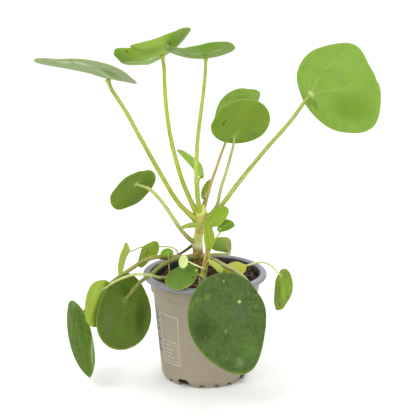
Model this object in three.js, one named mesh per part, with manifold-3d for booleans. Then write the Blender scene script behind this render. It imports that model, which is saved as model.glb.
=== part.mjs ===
// A potted pilea: round peltate leaves on long stalks, a main stem with a young offshoot beside it,
// potting soil, and a plastic nursery pot. Millimetres, +Z up, origin at the centre of the pot's foot.
// Azimuths are in degrees from +X towards +Y, elevations in degrees above the horizontal.
import * as THREE from "three";
import { mergeVertices } from "three/addons/utils/BufferGeometryUtils.js";
import Module from "manifold-3d";

// ---- Driving dimensions ----
const GAP = 0.3; // clear space between pieces that touch
const WALL = 1.2; // pot wall
const POT = {
  height: 106,
  rimRadius: 60,
  mouthRadius: 54.2,
  collarRadius: 53.3,
  collarBottom: 88.5,
  shoulderRadius: 50.2,
  heelRadius: 42.6,
  heelHeight: 7,
  footRadius: 39.5,
  floorUnderside: 1,
  sides: 44,
};
const NOTCH = {
  sectors: 4,
  firstAzimuth: 240,
  wideWidth: 11,
  wideHeight: 8,
  smallRadius: 2.1,
  smallOffsets: [26, 46, 66],
};
const SOIL = { surface: 94, relief: 1.3, mound: 2.5, spokes: 36, rings: 6, seed: 7 };

// A stem is a bent round rod: points along its middle, and its radius at each of them.
const STEMS = {
  main_stem: {
    points: [[-3, 8, 62], [-4, 7, 96], [-7, 5, 128], [-6, 4, 143], [-3, 2, 164]],
    radii: [3.6, 4.4, 4.9, 4.4, 3.9],
    sides: 12,
    steps: 16,
  },
  offshoot_stem: {
    points: [[-4, -16, 70], [-3, -16, 98], [0, -15.5, 114], [2, -15, 126], [3.5, -14.5, 137]],
    radii: [2.6, 3.7, 3.0, 2.2, 2.0],
    sides: 10,
    steps: 12,
  },
};

// Blades. at: where the stalk meets the blade. tip: the way the blade's tip points. face: the way its
// upper side looks. base: the share of the length that lies behind the stalk. droop and cup: how far
// the tip and the side edges lie below the stalk's end, per half length or width (negative: above).
// fold: how far the sides rise from the midrib. dimple: how deep the stalk's end lies in the blade.
// wave: height of the edge's ripple. aside: how far the outline lies to one side of the stalk.
// taper: how much narrower the tip end is than the base end. point: how far the tip is drawn out.
// Stalk. root: the stem that it leaves, with the height and azimuth there, or a place in the soil.
// via: points that it passes. thick: its radius at the root and at the blade.
const LEAVES = {
  top_left: {
    at: [-91, -5, 296], tip: [181, 13], face: [55, 68], length: 95, width: 88, base: 0.28,
    aside: 4, fold: 5, dimple: 2.5, droop: 1.4, wave: 0.6,
    root: ["main_stem", 154, 195], via: [[-24, 1, 172], [-43, 1, 204], [-60, 0, 236], [-76, -3, 267]],
    thick: [2.2, 1.6],
  },
  top_middle: {
    at: [-40, 0, 318], tip: [187, -27], face: [134, 50], length: 69, width: 62, base: 0.45,
    taper: -0.25, fold: 8, droop: -11.5, wave: 0.8,
    root: ["main_stem", 158, 150], via: [[-14, 4, 176], [-22, 4, 196], [-32, 3, 235], [-37, 2, 274]],
    thick: [2.1, 1.4],
  },
  top_right: {
    at: [1, -10, 317], tip: [181, -5], face: [102, 67], length: 63, width: 60, base: 0.43,
    taper: 0.22, fold: 6, droop: -8.5, wave: 0.6,
    root: ["main_stem", 162, 240], via: [[-7.5, -5, 184], [-7.5, -8, 228], [-4, -9, 262], [0, -10, 295]],
    thick: [2.2, 1.4],
  },
  big_right: {
    at: [98, -20, 284], tip: [320, 30], face: [58, 13], length: 88, width: 87, base: 0.13,
    aside: 9, cup: 2, wave: 0.6,
    root: ["main_stem", 153, 350], via: [[14, -3, 170], [28, -5, 190], [55, -9, 226], [81, -14, 258]],
    thick: [2.2, 1.5],
  },
  middle_right: {
    at: [28, -5, 240], tip: [300, 59], face: [101, 30], length: 56, width: 57, base: 0.15,
    cup: 2, wave: 0.6,
    root: ["main_stem", 157, 15], via: [[10, 2, 167], [15, 1, 187], [21, 0, 207], [26, -3, 227]],
    thick: [1.6, 1.2],
  },
  behind_middle_right: {
    at: [22, 24, 238], tip: [15, 50], face: [114, 8], length: 61, width: 47, base: 0.18,
    aside: -8, droop: 1, cup: 2, point: 3, wave: 0.6,
    root: ["main_stem", 161, 62], via: [[2, 4, 178], [6, 8, 192], [12, 13, 208], [17, 18, 222]],
    thick: [1.4, 1.0],
  },
  left: {
    at: [-64, -25, 199.5], tip: [192, -34], face: [130, 34], length: 51, width: 48, base: 0.38,
    aside: -2, droop: 1, cup: 2, wave: 0.6,
    root: ["main_stem", 131, 214], via: [[-20, -2, 144], [-33, -9, 166], [-44, -16, 184], [-53, -22, 195]],
    thick: [1.6, 1.2],
  },
  crown_young: {
    at: [-3, 12, 198], tip: [149, 64], face: [26, 15], length: 36, width: 22, base: 0.08,
    droop: 4, cup: 1,
    root: ["main_stem", 163, 110], via: [[-6, 10, 180]], thick: [1.2, 0.9],
  },
  crown_upright: {
    at: [-1, 11, 177], tip: [46, 70], face: [201, 18], length: 21, width: 12, base: 0.12,
    fold: 2, droop: 1,
    root: ["main_stem", 160, 90], via: [[-2.5, 8.5, 170]], thick: [1.0, 0.8],
  },
  offshoot_upper: {
    at: [6, -18, 159], tip: [19, 49], face: [235, 35], length: 24, width: 18, base: 0.12,
    droop: 1, cup: 1.5,
    root: ["offshoot_stem", 134, 60], via: [[5, -13.5, 147]], thick: [1.1, 0.8],
  },
  offshoot_right: {
    at: [14.5, -23, 154.5], tip: [7, 24], face: [238, 55], length: 19, width: 14, base: 0.15,
    fold: 2, droop: 1,
    root: ["offshoot_stem", 131, 330], via: [[10, -17.5, 143]], thick: [1.0, 0.8],
  },
  offshoot_centre: {
    at: [4, -29, 139], tip: [90, 79], face: [324, 10], length: 27, width: 13, base: 0.12,
    fold: 2.2, droop: 1.5,
    root: ["offshoot_stem", 122, 270], via: [[3, -21, 130]], thick: [1.1, 0.8],
  },
  offshoot_left: {
    at: [-5, -14, 155], tip: [179, 4], face: [290, 80], length: 22, width: 10, base: 0.12,
    fold: 1.2, droop: 1.5,
    root: ["offshoot_stem", 135.5, 175], via: [[0, -14, 147]], thick: [1.0, 0.7],
  },
  back_right: {
    at: [22, 20, 123], tip: [166, 38], face: [66, 12], length: 21, width: 19, base: 0.2,
    droop: 2, cup: -2, wave: 0.6,
    root: ["main_stem", 120, 5], via: [[10, 7, 121], [21, 10, 120], [28, 14, 119]], thick: [1.6, 1.0],
  },
  left_edge_on: {
    at: [-76, -1, 126], tip: [225, -66], face: [191, 21], length: 36, width: 26, base: 0.22,
    fold: 2, droop: 1, taper: 0.15, point: 1.5,
    root: ["soil", -24, 24], via: [[-25, 23, 108], [-29, 20, 123], [-44, 25, 123], [-61, 20, 124.5]],
    thick: [0.8, 0.7],
  },
  left_small: {
    at: [-53, 4, 126], tip: [203, -50], face: [208, 40], length: 31, width: 29, base: 0.34,
    droop: 2, cup: 2,
    root: ["main_stem", 134, 180], via: [[-14, 8, 128], [-24, 11, 120], [-36, 13, 114], [-46, 11, 116]],
    thick: [1.4, 1.0],
  },
  small_round: {
    at: [-35, -17, 130], tip: [182, 0], face: [92, 36], length: 12.5, width: 12, base: 0.4,
    cup: 1, droop: 1,
    root: ["soil", -33, -17], via: [[-34, -17, 108], [-34.5, -17.5, 122]], thick: [0.7, 0.6],
  },
  pale_young: {
    at: [-20, -52, 134], tip: [220, -64], face: [232, 26], length: 12.5, width: 11, base: 0.3,
    cup: 1.5, droop: 1.5,
    root: ["offshoot_stem", 112, 250], via: [[-2, -37, 120], [-10, -47, 127]], thick: [1.0, 0.7],
  },
  over_rim: {
    at: [-8, -47, 121.5], tip: [187, -19], face: [246, 55], length: 34, width: 29, base: 0.05,
    cup: 2, droop: 1, wave: 0.5,
    root: ["offshoot_stem", 104, 250], via: [[-5, -28, 110], [-7, -38, 115]], thick: [1.3, 0.9],
  },
  left_light: {
    at: [-94, -72, 111], tip: [235, -67], face: [145, 0], length: 45, width: 46, base: 0.2,
    aside: 3, cup: 2, wave: 0.6,
    root: ["main_stem", 112, 225],
    via: [
      [-16, -10, 106], [-30, -20, 106], [-41, -32, 109], [-52, -51, 118], [-69, -66, 123],
      [-83, -73.5, 118.5], [-90, -76, 115.5],
    ],
    thick: [1.5, 1.1],
  },
  left_big: {
    at: [-75, -60, 97], tip: [257, -76], face: [133, -8], length: 73, width: 65, base: 0.35,
    aside: 0.5, taper: -0.2, cup: 2, wave: 0.6,
    root: ["main_stem", 118, 232],
    via: [[-16, -12, 123], [-33, -24, 124], [-55, -50, 115], [-66, -62, 109]],
    thick: [2.4, 1.6],
  },
  far_left: {
    at: [-124, -30, 65], tip: [301, -69], face: [212, 0], length: 75, width: 52, base: 0.27,
    aside: -1, droop: 2, cup: 3, wave: 0.6,
    root: ["main_stem", 122, 262],
    via: [
      [-14, -8, 122], [-38, -10, 124], [-55, -16, 123], [-71, -20, 114], [-88, -20, 102],
      [-105, -24, 88],
    ],
    thick: [2.3, 1.5],
  },
  front_big: {
    at: [32, -80, 101.5], tip: [271, -65], face: [270, 25], length: 94, width: 73, base: 0.29,
    aside: -12, taper: 0.14, droop: 1.5, cup: 3, wave: 0.6,
    root: ["main_stem", 119, 310],
    via: [[7, -9, 121], [16, -20, 119], [31, -36, 116], [40, -52, 112], [44, -62, 107]],
    thick: [2.2, 1.5],
  },
  yellow: {
    at: [32, -18, 115], tip: [200, -3], face: [284, 62], length: 22, width: 18, base: 0.35,
    cup: 2, droop: 1,
    root: ["soil", 30, -14], via: [[32, -14, 106]], thick: [0.9, 0.8],
  },
  right_hanging: {
    at: [73, -15, 106], tip: [258, -72], face: [43, -17], length: 39, width: 21.5, base: 0.18,
    aside: -4, fold: 1.5, droop: 1, point: 2,
    root: ["main_stem", 114, 335],
    via: [[19, 0, 108], [29, 0, 109], [47, -3, 114], [56, -5, 117], [67, -10, 112]],
    thick: [1.2, 0.8],
  },
  offshoot_pale: {
    at: [6, -31, 124], tip: [346, -38], face: [323, 50], length: 16, width: 8, base: 0.12,
    fold: 1, droop: 1,
    root: ["offshoot_stem", 118, 290], via: [[5, -25, 125]], thick: [0.9, 0.7],
  },
};
const BLADE_THICKNESS = 0.9;
const LARGE_BLADE = 45; // from this length up a blade gets the finer grid
const LEVEL_OF_DETAIL = {
  large: { spokes: 24, rings: 4, sides: 8, stepLength: 13 },
  small: { spokes: 16, rings: 3, sides: 6, stepLength: 8 },
};
const TIP_SPREAD = 0.2; // radians of the outline that a drawn-out tip takes on each side
const CREASE_SHARE = 0.2; // share of the half width over which a fold is rounded
const STALK_MEETS_BLADE = 2.5; // last straight stretch of a stalk, square to the blade

const COLOURS = {
  pot: { color: 0xa39887, roughness: 0.45, metalness: 0 },
  soil: { color: 0x3a241b, roughness: 0.95, metalness: 0 },
  stem: { color: 0x8f9b3c, roughness: 0.5, metalness: 0 },
  stalk: { color: 0xa5bf4a, roughness: 0.45, metalness: 0 },
  blade: { color: 0x5a8f2c, roughness: 0.4, metalness: 0 },
  paleBlade: { color: 0xb9cf5e, roughness: 0.45, metalness: 0 },
  yellowBlade: { color: 0xc8b93e, roughness: 0.5, metalness: 0 },
};
const BLADE_FINISH = { pale_young: "paleBlade", offshoot_pale: "paleBlade", yellow: "yellowBlade" };

const wasm = await Module();
wasm.setup();

// ---- From three.js geometry to a solid and back ----
function solidOf(geometry) {
  const bare = new THREE.BufferGeometry().setAttribute("position", geometry.getAttribute("position"));
  bare.setIndex(geometry.index);
  const merged = mergeVertices(bare, 1e-4);
  const index = merged.index.array;
  const kept = [];
  for (let i = 0; i < index.length; i += 3) {
    const [a, b, c] = [index[i], index[i + 1], index[i + 2]];
    if (a !== b && b !== c && c !== a) kept.push(a, b, c);
  }
  return new wasm.Manifold(
    new wasm.Mesh({
      numProp: 3,
      vertProperties: merged.getAttribute("position").array,
      triVerts: new Uint32Array(kept),
    }),
  );
}

function geometryOf(solid) {
  const { vertProperties, triVerts } = solid.getMesh();
  const geometry = new THREE.BufferGeometry();
  geometry.setAttribute("position", new THREE.BufferAttribute(new Float32Array(vertProperties), 3));
  geometry.setIndex(new THREE.BufferAttribute(new Uint32Array(triVerts), 1));
  geometry.computeVertexNormals();
  return geometry;
}

// The largest of the separate bodies that a cut has left.
function largestBody(solid) {
  return solid.decompose().reduce((best, body) => (body.volume() > best.volume() ? body : best));
}

// ---- Shared shapes ----
function direction([azimuth, elevation]) {
  const [a, e] = [THREE.MathUtils.degToRad(azimuth), THREE.MathUtils.degToRad(elevation)];
  return new THREE.Vector3(Math.cos(e) * Math.cos(a), Math.cos(e) * Math.sin(a), Math.sin(e));
}

// A closed round rod along a curve, its radius given at evenly spaced parameters of the curve.
function rodGeometry(curve, radii, sides, steps, skin = 0) {
  const frames = curve.computeFrenetFrames(steps, false);
  const positions = [];
  for (let i = 0; i <= steps; i++) {
    const share = (i / steps) * (radii.length - 1);
    const lower = Math.min(Math.floor(share), radii.length - 2);
    const radius = THREE.MathUtils.lerp(radii[lower], radii[lower + 1], share - lower) + skin;
    const middle = curve.getPointAt(i / steps);
    for (let j = 0; j < sides; j++) {
      const turn = (j / sides) * 2 * Math.PI;
      const offset = frames.normals[i].clone().multiplyScalar(radius * Math.cos(turn));
      offset.addScaledVector(frames.binormals[i], radius * Math.sin(turn));
      positions.push(...middle.clone().add(offset).toArray());
    }
  }
  const index = [];
  for (let i = 0; i < steps; i++)
    for (let j = 0; j < sides; j++) {
      const [a, b] = [i * sides + j, i * sides + ((j + 1) % sides)];
      index.push(a, b, b + sides, a, b + sides, a + sides);
    }
  const last = steps * sides;
  for (let j = 1; j < sides - 1; j++) index.push(0, j + 1, j, last, last + j, last + j + 1);
  const geometry = new THREE.BufferGeometry();
  geometry.setAttribute("position", new THREE.Float32BufferAttribute(positions, 3));
  geometry.setIndex(index);
  return geometry;
}

function latheGeometry(profile, segments) {
  const points = profile.map(([radius, height]) => new THREE.Vector2(radius, height));
  return new THREE.LatheGeometry(points, segments).rotateX(Math.PI / 2);
}

// ---- Pot ----
// Inner radius of the pot at a height above its floor.
function boreRadius(height) {
  if (height >= POT.collarBottom) return POT.collarRadius - WALL;
  const share = (height - POT.heelHeight) / (POT.collarBottom - POT.heelHeight);
  const outer = THREE.MathUtils.lerp(POT.heelRadius, POT.shoulderRadius, Math.max(share, 0));
  return outer - WALL;
}

function makePot() {
  const { height: top, rimRadius: rim, collarBottom, heelHeight: heel, footRadius: foot } = POT;
  const floorTop = POT.floorUnderside + WALL;
  const shell = solidOf(
    latheGeometry(
      [
        // underside of the floor, and the foot ring
        [0, POT.floorUnderside],
        [foot - WALL - 0.6, POT.floorUnderside],
        [foot - WALL, 0],
        [foot, 0],
        // outside of the wall, with the heel and the collar
        [foot + 0.6, heel / 2],
        [POT.heelRadius, heel],
        [POT.shoulderRadius, collarBottom - 2.5],
        [POT.collarRadius - 0.8, collarBottom],
        [POT.collarRadius, top - 7.5],
        // rolled rim
        [rim - 2.5, top - 5.5],
        [rim - 0.3, top - 3.6],
        [rim, top - 2],
        [rim - 1, top - 0.4],
        [rim - 2.6, top],
        [POT.mouthRadius + 0.4, top - 0.4],
        [POT.mouthRadius - 1.2, top - 2.2],
        // inside, down to the floor
        [boreRadius(collarBottom), top - 6],
        [boreRadius(collarBottom), collarBottom],
        [boreRadius(collarBottom - 2.5), collarBottom - 2.5],
        [boreRadius(heel), heel],
        [foot - WALL, floorTop],
        [0, floorTop],
      ],
      POT.sides,
    ),
  );
  const cutters = [];
  const placed = (geometry, azimuth, radius, height) =>
    solidOf(geometry.translate(radius, 0, height).rotateZ(THREE.MathUtils.degToRad(azimuth)));
  for (let sector = 0; sector < NOTCH.sectors; sector++) {
    const azimuth = NOTCH.firstAzimuth + (sector * 360) / NOTCH.sectors;
    const wide = new THREE.BoxGeometry(10, NOTCH.wideWidth, 2 * NOTCH.wideHeight);
    cutters.push(placed(wide, azimuth, foot + 1.5, 0));
    for (const offset of NOTCH.smallOffsets) {
      const round = new THREE.CylinderGeometry(NOTCH.smallRadius, NOTCH.smallRadius, 6, 10);
      round.rotateZ(Math.PI / 2).scale(1, 1, 1.5);
      cutters.push(placed(round, azimuth + offset, foot, 0));
    }
  }
  return cutters.reduce((pot, cutter) => pot.subtract(cutter), shell);
}

// ---- Soil ----
// Evenly spread numbers from 0 to 1, the same on each run.
function seededRandom(seed) {
  let state = seed;
  return () => {
    state = (state * 16807) % 2147483647;
    return state / 2147483647;
  };
}

function makeSoil(standing) {
  const floor = POT.floorUnderside + WALL + GAP;
  const clear = (height) => boreRadius(height) - GAP - 0.1;
  const profile = [
    [0, floor],
    [POT.footRadius - WALL - 1, floor],
    [clear(POT.heelHeight), POT.heelHeight + 0.6],
    [clear(POT.collarBottom - 3), POT.collarBottom - 3],
    [clear(SOIL.surface), SOIL.surface],
  ];
  for (let ring = SOIL.rings; ring >= 0; ring--)
    profile.push([(ring / (SOIL.rings + 1)) * clear(SOIL.surface), SOIL.surface + 0.01]);
  const geometry = latheGeometry(profile, SOIL.spokes);
  const position = geometry.getAttribute("position");
  const random = seededRandom(SOIL.seed);
  const heights = new Map();
  for (let i = 0; i < position.count; i++) {
    if (position.getZ(i) <= SOIL.surface) continue;
    const [x, y] = [position.getX(i), position.getY(i)];
    const key = `${x.toFixed(2)},${y.toFixed(2)}`.replace(/-0\.00/g, "0.00");
    if (!heights.has(key)) heights.set(key, random());
    const middle = 1 - Math.hypot(x, y) / clear(SOIL.surface);
    position.setZ(i, SOIL.surface + SOIL.mound * middle + SOIL.relief * (heights.get(key) - 0.3));
  }
  return standing.reduce((soil, piece) => soil.subtract(piece), solidOf(geometry));
}

// ---- Stems ----
function stemCurve(stem) {
  return new THREE.CatmullRomCurve3(stem.points.map((p) => new THREE.Vector3(...p)));
}

function makeStem(stem, skin = 0) {
  return solidOf(rodGeometry(stemCurve(stem), stem.radii, stem.sides, stem.steps, skin));
}

// The middle of a stem at a height.
function stemMiddle(stem, height) {
  const points = stemCurve(stem).getPoints(80);
  return points.reduce((best, p) => (Math.abs(p.z - height) < Math.abs(best.z - height) ? p : best));
}

// ---- Blades ----
function detailOf(leaf) {
  return leaf.length >= LARGE_BLADE ? LEVEL_OF_DETAIL.large : LEVEL_OF_DETAIL.small;
}

// Directions along the blade's tip, its side and its upper face.
function bladeAxes(leaf) {
  const tip = direction(leaf.tip);
  const face = direction(leaf.face);
  face.addScaledVector(tip, -face.dot(tip)).normalize();
  return { tip, side: face.clone().cross(tip), face };
}

// Height of the blade over the plane through the stalk's end. share runs from 0 there to 1 at the edge.
function bladeHeight(leaf, along, across, turn, share) {
  const { droop = 0, cup = 0, fold = 0, dimple = 0, wave = 0 } = leaf;
  const [u, v] = [along / (leaf.length / 2), across / (leaf.width / 2)];
  const ripple = wave * share * share * Math.sin(3 * turn + leaf.length);
  const rise = dimple * (1 - (1 - share) ** 3);
  const crease = fold * (Math.hypot(v, CREASE_SHARE) - CREASE_SHARE);
  return ripple + rise + crease - droop * u * u - cup * v * v;
}

// The blade as a closed sheet on a round grid about the stalk's end, alike on both faces.
function makeBlade(leaf, skin = 0) {
  const { aside = 0, point = 0, taper = 0, base, length, width } = leaf;
  const { spokes, rings } = detailOf(leaf);
  const { tip, side, face } = bladeAxes(leaf);
  const positions = [];
  for (const level of [BLADE_THICKNESS / 2 + skin, -BLADE_THICKNESS / 2 - skin])
    for (let ring = 0; ring <= rings; ring++)
      for (let spoke = 0; spoke < (ring ? spokes : 1); spoke++) {
        const turn = (spoke / spokes) * 2 * Math.PI;
        const share = ring / rings;
        const peak = point * Math.exp(-((Math.min(turn, 2 * Math.PI - turn) / TIP_SPREAD) ** 2));
        const shift = aside * Math.min(1, 1 - Math.cos(turn) * Math.abs(Math.cos(turn)));
        const along = share * ((0.5 - base) * length + (length / 2 + skin) * Math.cos(turn) + peak);
        const half = (width / 2 + skin) * (1 - taper * Math.cos(turn));
        const across = share * (half * Math.sin(turn) + shift);
        const height = level + bladeHeight(leaf, along, across, turn, share);
        const place = new THREE.Vector3(...leaf.at);
        place.addScaledVector(tip, along).addScaledVector(side, across).addScaledVector(face, height);
        positions.push(...place.toArray());
      }
  const perFace = 1 + rings * spokes;
  const vertex = (ring, spoke) => (ring ? 1 + (ring - 1) * spokes + (spoke % spokes) : 0);
  const index = [];
  const both = (a, b, c) => index.push(a, b, c, perFace + a, perFace + c, perFace + b);
  for (let spoke = 0; spoke < spokes; spoke++) {
    both(0, vertex(1, spoke), vertex(1, spoke + 1));
    for (let ring = 1; ring < rings; ring++) {
      const [a, b] = [vertex(ring, spoke), vertex(ring, spoke + 1)];
      const [c, d] = [vertex(ring + 1, spoke), vertex(ring + 1, spoke + 1)];
      both(a, c, d);
      both(a, d, b);
    }
    const [e, f] = [vertex(rings, spoke), vertex(rings, spoke + 1)];
    index.push(e, perFace + e, perFace + f, e, perFace + f, f);
  }
  const geometry = new THREE.BufferGeometry();
  geometry.setAttribute("position", new THREE.Float32BufferAttribute(positions, 3));
  geometry.setIndex(index);
  return solidOf(geometry);
}

// ---- Stalks ----
function stalkCurve(leaf) {
  const [on, first, second] = leaf.root;
  const start =
    on === "soil"
      ? [new THREE.Vector3(first, second, SOIL.surface - 10), new THREE.Vector3(first, second, SOIL.surface)]
      : [stemMiddle(STEMS[on], first).addScaledVector(direction([second, 0]), 1)];
  const at = new THREE.Vector3(...leaf.at);
  const approach = at.clone().addScaledVector(bladeAxes(leaf).face, -STALK_MEETS_BLADE);
  const via = leaf.via.map((p) => new THREE.Vector3(...p));
  return new THREE.CatmullRomCurve3([...start, ...via, approach, at]);
}

function stalkRod(leaf, skin = 0) {
  const { sides, stepLength } = detailOf(leaf);
  const curve = stalkCurve(leaf);
  const steps = Math.max(6, Math.ceil(curve.getLength() / stepLength));
  return solidOf(rodGeometry(curve, leaf.thick, sides, steps, skin));
}

// ---- The plant in its pot ----
const group = new THREE.Group();
const finishes = new Map(Object.entries(COLOURS).map(([k, v]) => [k, new THREE.MeshStandardMaterial(v)]));

function place(name, solid, finish) {
  const mesh = new THREE.Mesh(geometryOf(solid), finishes.get(finish));
  mesh.name = name;
  group.add(mesh);
}

// Each piece keeps a gap to those made before it: the stems, then the blades, then the stalks.
const stemClearances = Object.values(STEMS).map((stem) => makeStem(stem, GAP));
const inSoil = [...stemClearances];
const earlierStalks = [];
for (const [name, leaf] of Object.entries(LEAVES)) {
  place(`blade_${name}`, makeBlade(leaf), BLADE_FINISH[name] ?? "blade");
  const clearances = [...stemClearances, makeBlade(leaf, GAP), ...earlierStalks];
  const stalk = clearances.reduce((rod, piece) => rod.subtract(piece), stalkRod(leaf));
  place(`stalk_${name}`, largestBody(stalk), "stalk");
  earlierStalks.push(stalkRod(leaf, GAP));
  if (leaf.root[0] === "soil") inSoil.push(stalkRod(leaf, GAP));
}
for (const [name, stem] of Object.entries(STEMS)) place(name, makeStem(stem), "stem");
place("soil", makeSoil(inSoil), "soil");
place("pot", makePot(), "pot");

export default group;
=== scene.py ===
"""Dresses a potted pilea: fleshy round leaves, their stalks and stems, crumbly soil and a moulded pot.

Each piece is drawn round its solid in the frame. Lengths are in metres unless a name or comment says
otherwise, and angles in the tables are in degrees.
"""

import functools
import math
import random

import bmesh
import bpy
import numpy as np
from bpy.props import FloatProperty, FloatVectorProperty, IntProperty, PointerProperty
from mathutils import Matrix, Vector, noise
from mathutils.bvhtree import BVHTree


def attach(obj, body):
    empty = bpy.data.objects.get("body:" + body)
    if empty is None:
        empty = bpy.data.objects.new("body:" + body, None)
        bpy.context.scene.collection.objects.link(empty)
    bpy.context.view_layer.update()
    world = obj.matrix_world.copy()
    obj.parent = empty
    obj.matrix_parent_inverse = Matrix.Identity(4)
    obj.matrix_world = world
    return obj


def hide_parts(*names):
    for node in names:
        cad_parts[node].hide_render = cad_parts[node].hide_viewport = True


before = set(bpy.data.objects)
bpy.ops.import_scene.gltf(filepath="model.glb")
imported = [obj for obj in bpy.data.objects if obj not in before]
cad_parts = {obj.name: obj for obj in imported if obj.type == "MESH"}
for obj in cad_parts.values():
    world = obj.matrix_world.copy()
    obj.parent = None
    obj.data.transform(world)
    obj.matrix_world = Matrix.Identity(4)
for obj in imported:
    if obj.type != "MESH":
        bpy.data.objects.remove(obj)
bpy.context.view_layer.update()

bl_info = {
    "name": "Potted Pilea",
    "version": (1, 0, 0),
    "blender": (4, 5, 0),
    "location": "3D View > Sidebar > Pilea",
    "description": "Builds the leaves, stems, soil and pot of a potted pilea round its solids",
    "category": "Object",
}

MM = 0.001
CM = 0.01
# The high stalks leave the stem above the crown's height. The soil's is that of its flat top.
CROWN_HEIGHT, SOIL_TOP, POT_FLOOR = 150 * MM, 93 * MM, 2.2 * MM
LEAVES = sorted(name[len("blade_"):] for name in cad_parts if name.startswith("blade_"))


def linear(code):
    """A colour such as #A09484 as three linear values."""
    parts = [int(code[i:i + 2], 16) / 255 for i in (1, 3, 5)]
    return tuple(p / 12.92 if p <= 0.04045 else ((p + 0.055) / 1.055) ** 2.4 for p in parts)


# ---- What a user may change ----
def length(name, description, default):
    """A setting that is a length."""
    return FloatProperty(name=name, description=description, default=default, min=0, unit="LENGTH")


def share(name, description, default):
    """A setting that is a share from 0 to 1."""
    return FloatProperty(name=name, description=description, default=default, min=0, max=1,
                         subtype="FACTOR")


def colour(name, description, code):
    """A setting that is a colour, given as a code."""
    return FloatVectorProperty(name=name, description=description, subtype="COLOR", size=3,
                               min=0, max=1, default=linear(code))


class PileaLeafSettings(bpy.types.PropertyGroup):
    """Sizes and tones of the blades"""
    thickness: length("Thickness", "Thickness of a blade half way out", 0.9 * MM)
    edge: length("Edge", "Width of a blade's rounded edge", 0.7 * MM)
    ripple: length("Ripple", "Height of the soft waves in a large blade", 0.5 * MM)
    dimple: length("Dimple", "Depth of the dip over the stalk's end", 0.7 * MM)
    veins: IntProperty(name="Veins", description="Main veins that leave the stalk's end", default=9,
                       min=3)
    through: share("Light through", "Share of the light that passes a blade", 0.5)
    # The pale rim is a painted highlight along each blade's edge.
    rim: colour("Rim", "Pale edge of a blade", "#B9CC6A")
    dot: colour("Dot", "Dot on the upper face over the stalk's end", "#E6F08A")
    star: colour("Star", "Pale patch on the lower face round the stalk's end", "#DDE7A0")


class PileaStalkSettings(bpy.types.PropertyGroup):
    """Sizes and tones of the stalks"""
    sides: IntProperty(name="Sides", description="Sides of a stalk", default=20, min=6)
    foot: share("Foot swelling", "How much a stalk swells where it leaves the stem", 0.3)
    flare: share("Flare", "How much a stalk widens where it meets the blade", 0.6)
    foot_tone: colour("Stalk foot", "Lower end of a reddish stalk", "#A5773F")


class PileaStemSettings(bpy.types.PropertyGroup):
    """Tones of the two stems"""
    green: colour("Stem", "Green upper stem", "#D2DC6C")
    young: colour("Young stem", "Green of the offshoot", "#B8CC44")
    pale: colour("Node", "Pale bands and leaf scars", "#E6E0BE")
    bark: colour("Bark", "Brown lower stem", "#80492A")
    blush: colour("Blush", "Reddish blotches on the stem", "#C0814A")
    papery: colour("Stipule", "Dry papery scales on the stem", "#B58A52")


class PileaSoilSettings(bpy.types.PropertyGroup):
    """Relief, loose bits and tones of the soil"""
    relief: length("Relief", "Height of the lumps in the soil", 2.8 * MM)
    bank: length("Bank", "How much higher the soil lies behind the plant", 6.5 * MM)
    fibres: IntProperty(name="Fibres", description="Number of coir fibres", default=620, min=0)
    chips: IntProperty(name="Chips", description="Number of bark chips and crumbs", default=420,
                       min=0)
    seed: IntProperty(name="Seed", description="Seed of all random draws in the soil", default=11)
    dark: colour("Peat", "Dark peat", "#140C08")
    brown: colour("Crumbs", "Brown crumbs", "#362818")
    fibre: colour("Fibre", "Reddish coir fibre", "#A4725A")


class PileaPotSettings(bpy.types.PropertyGroup):
    """Sizes and tones of the pot"""
    wall: length("Wall", "Thickness of the pot's wall", 1.2 * MM)
    collar_bottom: length("Collar", "Height of the collar's lower edge", 88.5 * MM)
    collar_radius: length("Collar radius", "Outer radius of the collar", 53.3 * MM)
    mouth_radius: length("Mouth radius", "Inner radius of the rolled rim", 54.2 * MM)
    shoulder_radius: length("Shoulder radius", "Outer radius under the collar", 50.2 * MM)
    heel_radius: length("Heel radius", "Outer radius of the wall's lower end", 42.6 * MM)
    heel_height: length("Heel height", "Height of the wall's lower end", 7 * MM)
    foot_radius: length("Foot radius", "Outer radius of the foot ring", 39.5 * MM)
    outside: colour("Outside", "Plastic of the outer wall", "#988D7A")
    # The rolled rim's grey-blue tone is a painted reflection of the surround.
    lip: colour("Lip", "Plastic of the rolled rim", "#888A92")
    inside: colour("Inside", "Plastic of the inner wall", "#2C2E2E")
    ink: colour("Ink", "Pale printed frames", "#C6C3BC")
    dark_ink: colour("Dark ink", "Dark printed bars", "#3E4C5A")


class PileaStageSettings(bpy.types.PropertyGroup):
    """Floor, lights and camera"""
    floor: colour("Floor", "Floor under the pot", "#FAFAFA")
    surround: FloatProperty(name="Surround", description="Brightness of the white surround",
                            default=1.06, min=0)
    key: FloatProperty(name="Key light", description="Power of the large light above on the left",
                       default=9, min=0, unit="POWER")
    fill: FloatProperty(name="Fill light", description="Power of the soft light in front",
                        default=3, min=0, unit="POWER")
    back: FloatProperty(name="Back light", description="Power of the light above and behind",
                        default=5, min=0, unit="POWER")
    camera: FloatVectorProperty(name="Camera", description="Place of the camera", size=3,
                                subtype="TRANSLATION", default=(0.003, -1.4306, 0.557))
    pitch: FloatProperty(name="Pitch", description="How far the camera looks down", subtype="ANGLE",
                         default=math.radians(15.17))
    lens_mm: FloatProperty(name="Lens", description="Focal length on a 36 mm sensor, in mm",
                           default=133.8, min=1)


# ---- Meshes ----
def new_piece(name, points, faces, replaced=(), materials=(), smooth=True):
    """A mesh object that rides on the plant, from points and faces in the frame."""
    mesh = bpy.data.meshes.new(name)
    mesh.from_pydata([tuple(p) for p in points], [], faces)
    mesh.validate()
    mesh.update()
    mesh.shade_smooth() if smooth else mesh.shade_flat()
    for material in materials:
        mesh.materials.append(material)
    piece = bpy.data.objects.new(name, mesh)
    bpy.context.scene.collection.objects.link(piece)
    return settle(piece, replaced)


def settle(piece, replaced=()):
    """Ties a piece to the plant's one body and the solids it stands for."""
    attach(piece, "root")
    if replaced:
        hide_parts(*replaced)
    return piece


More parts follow.
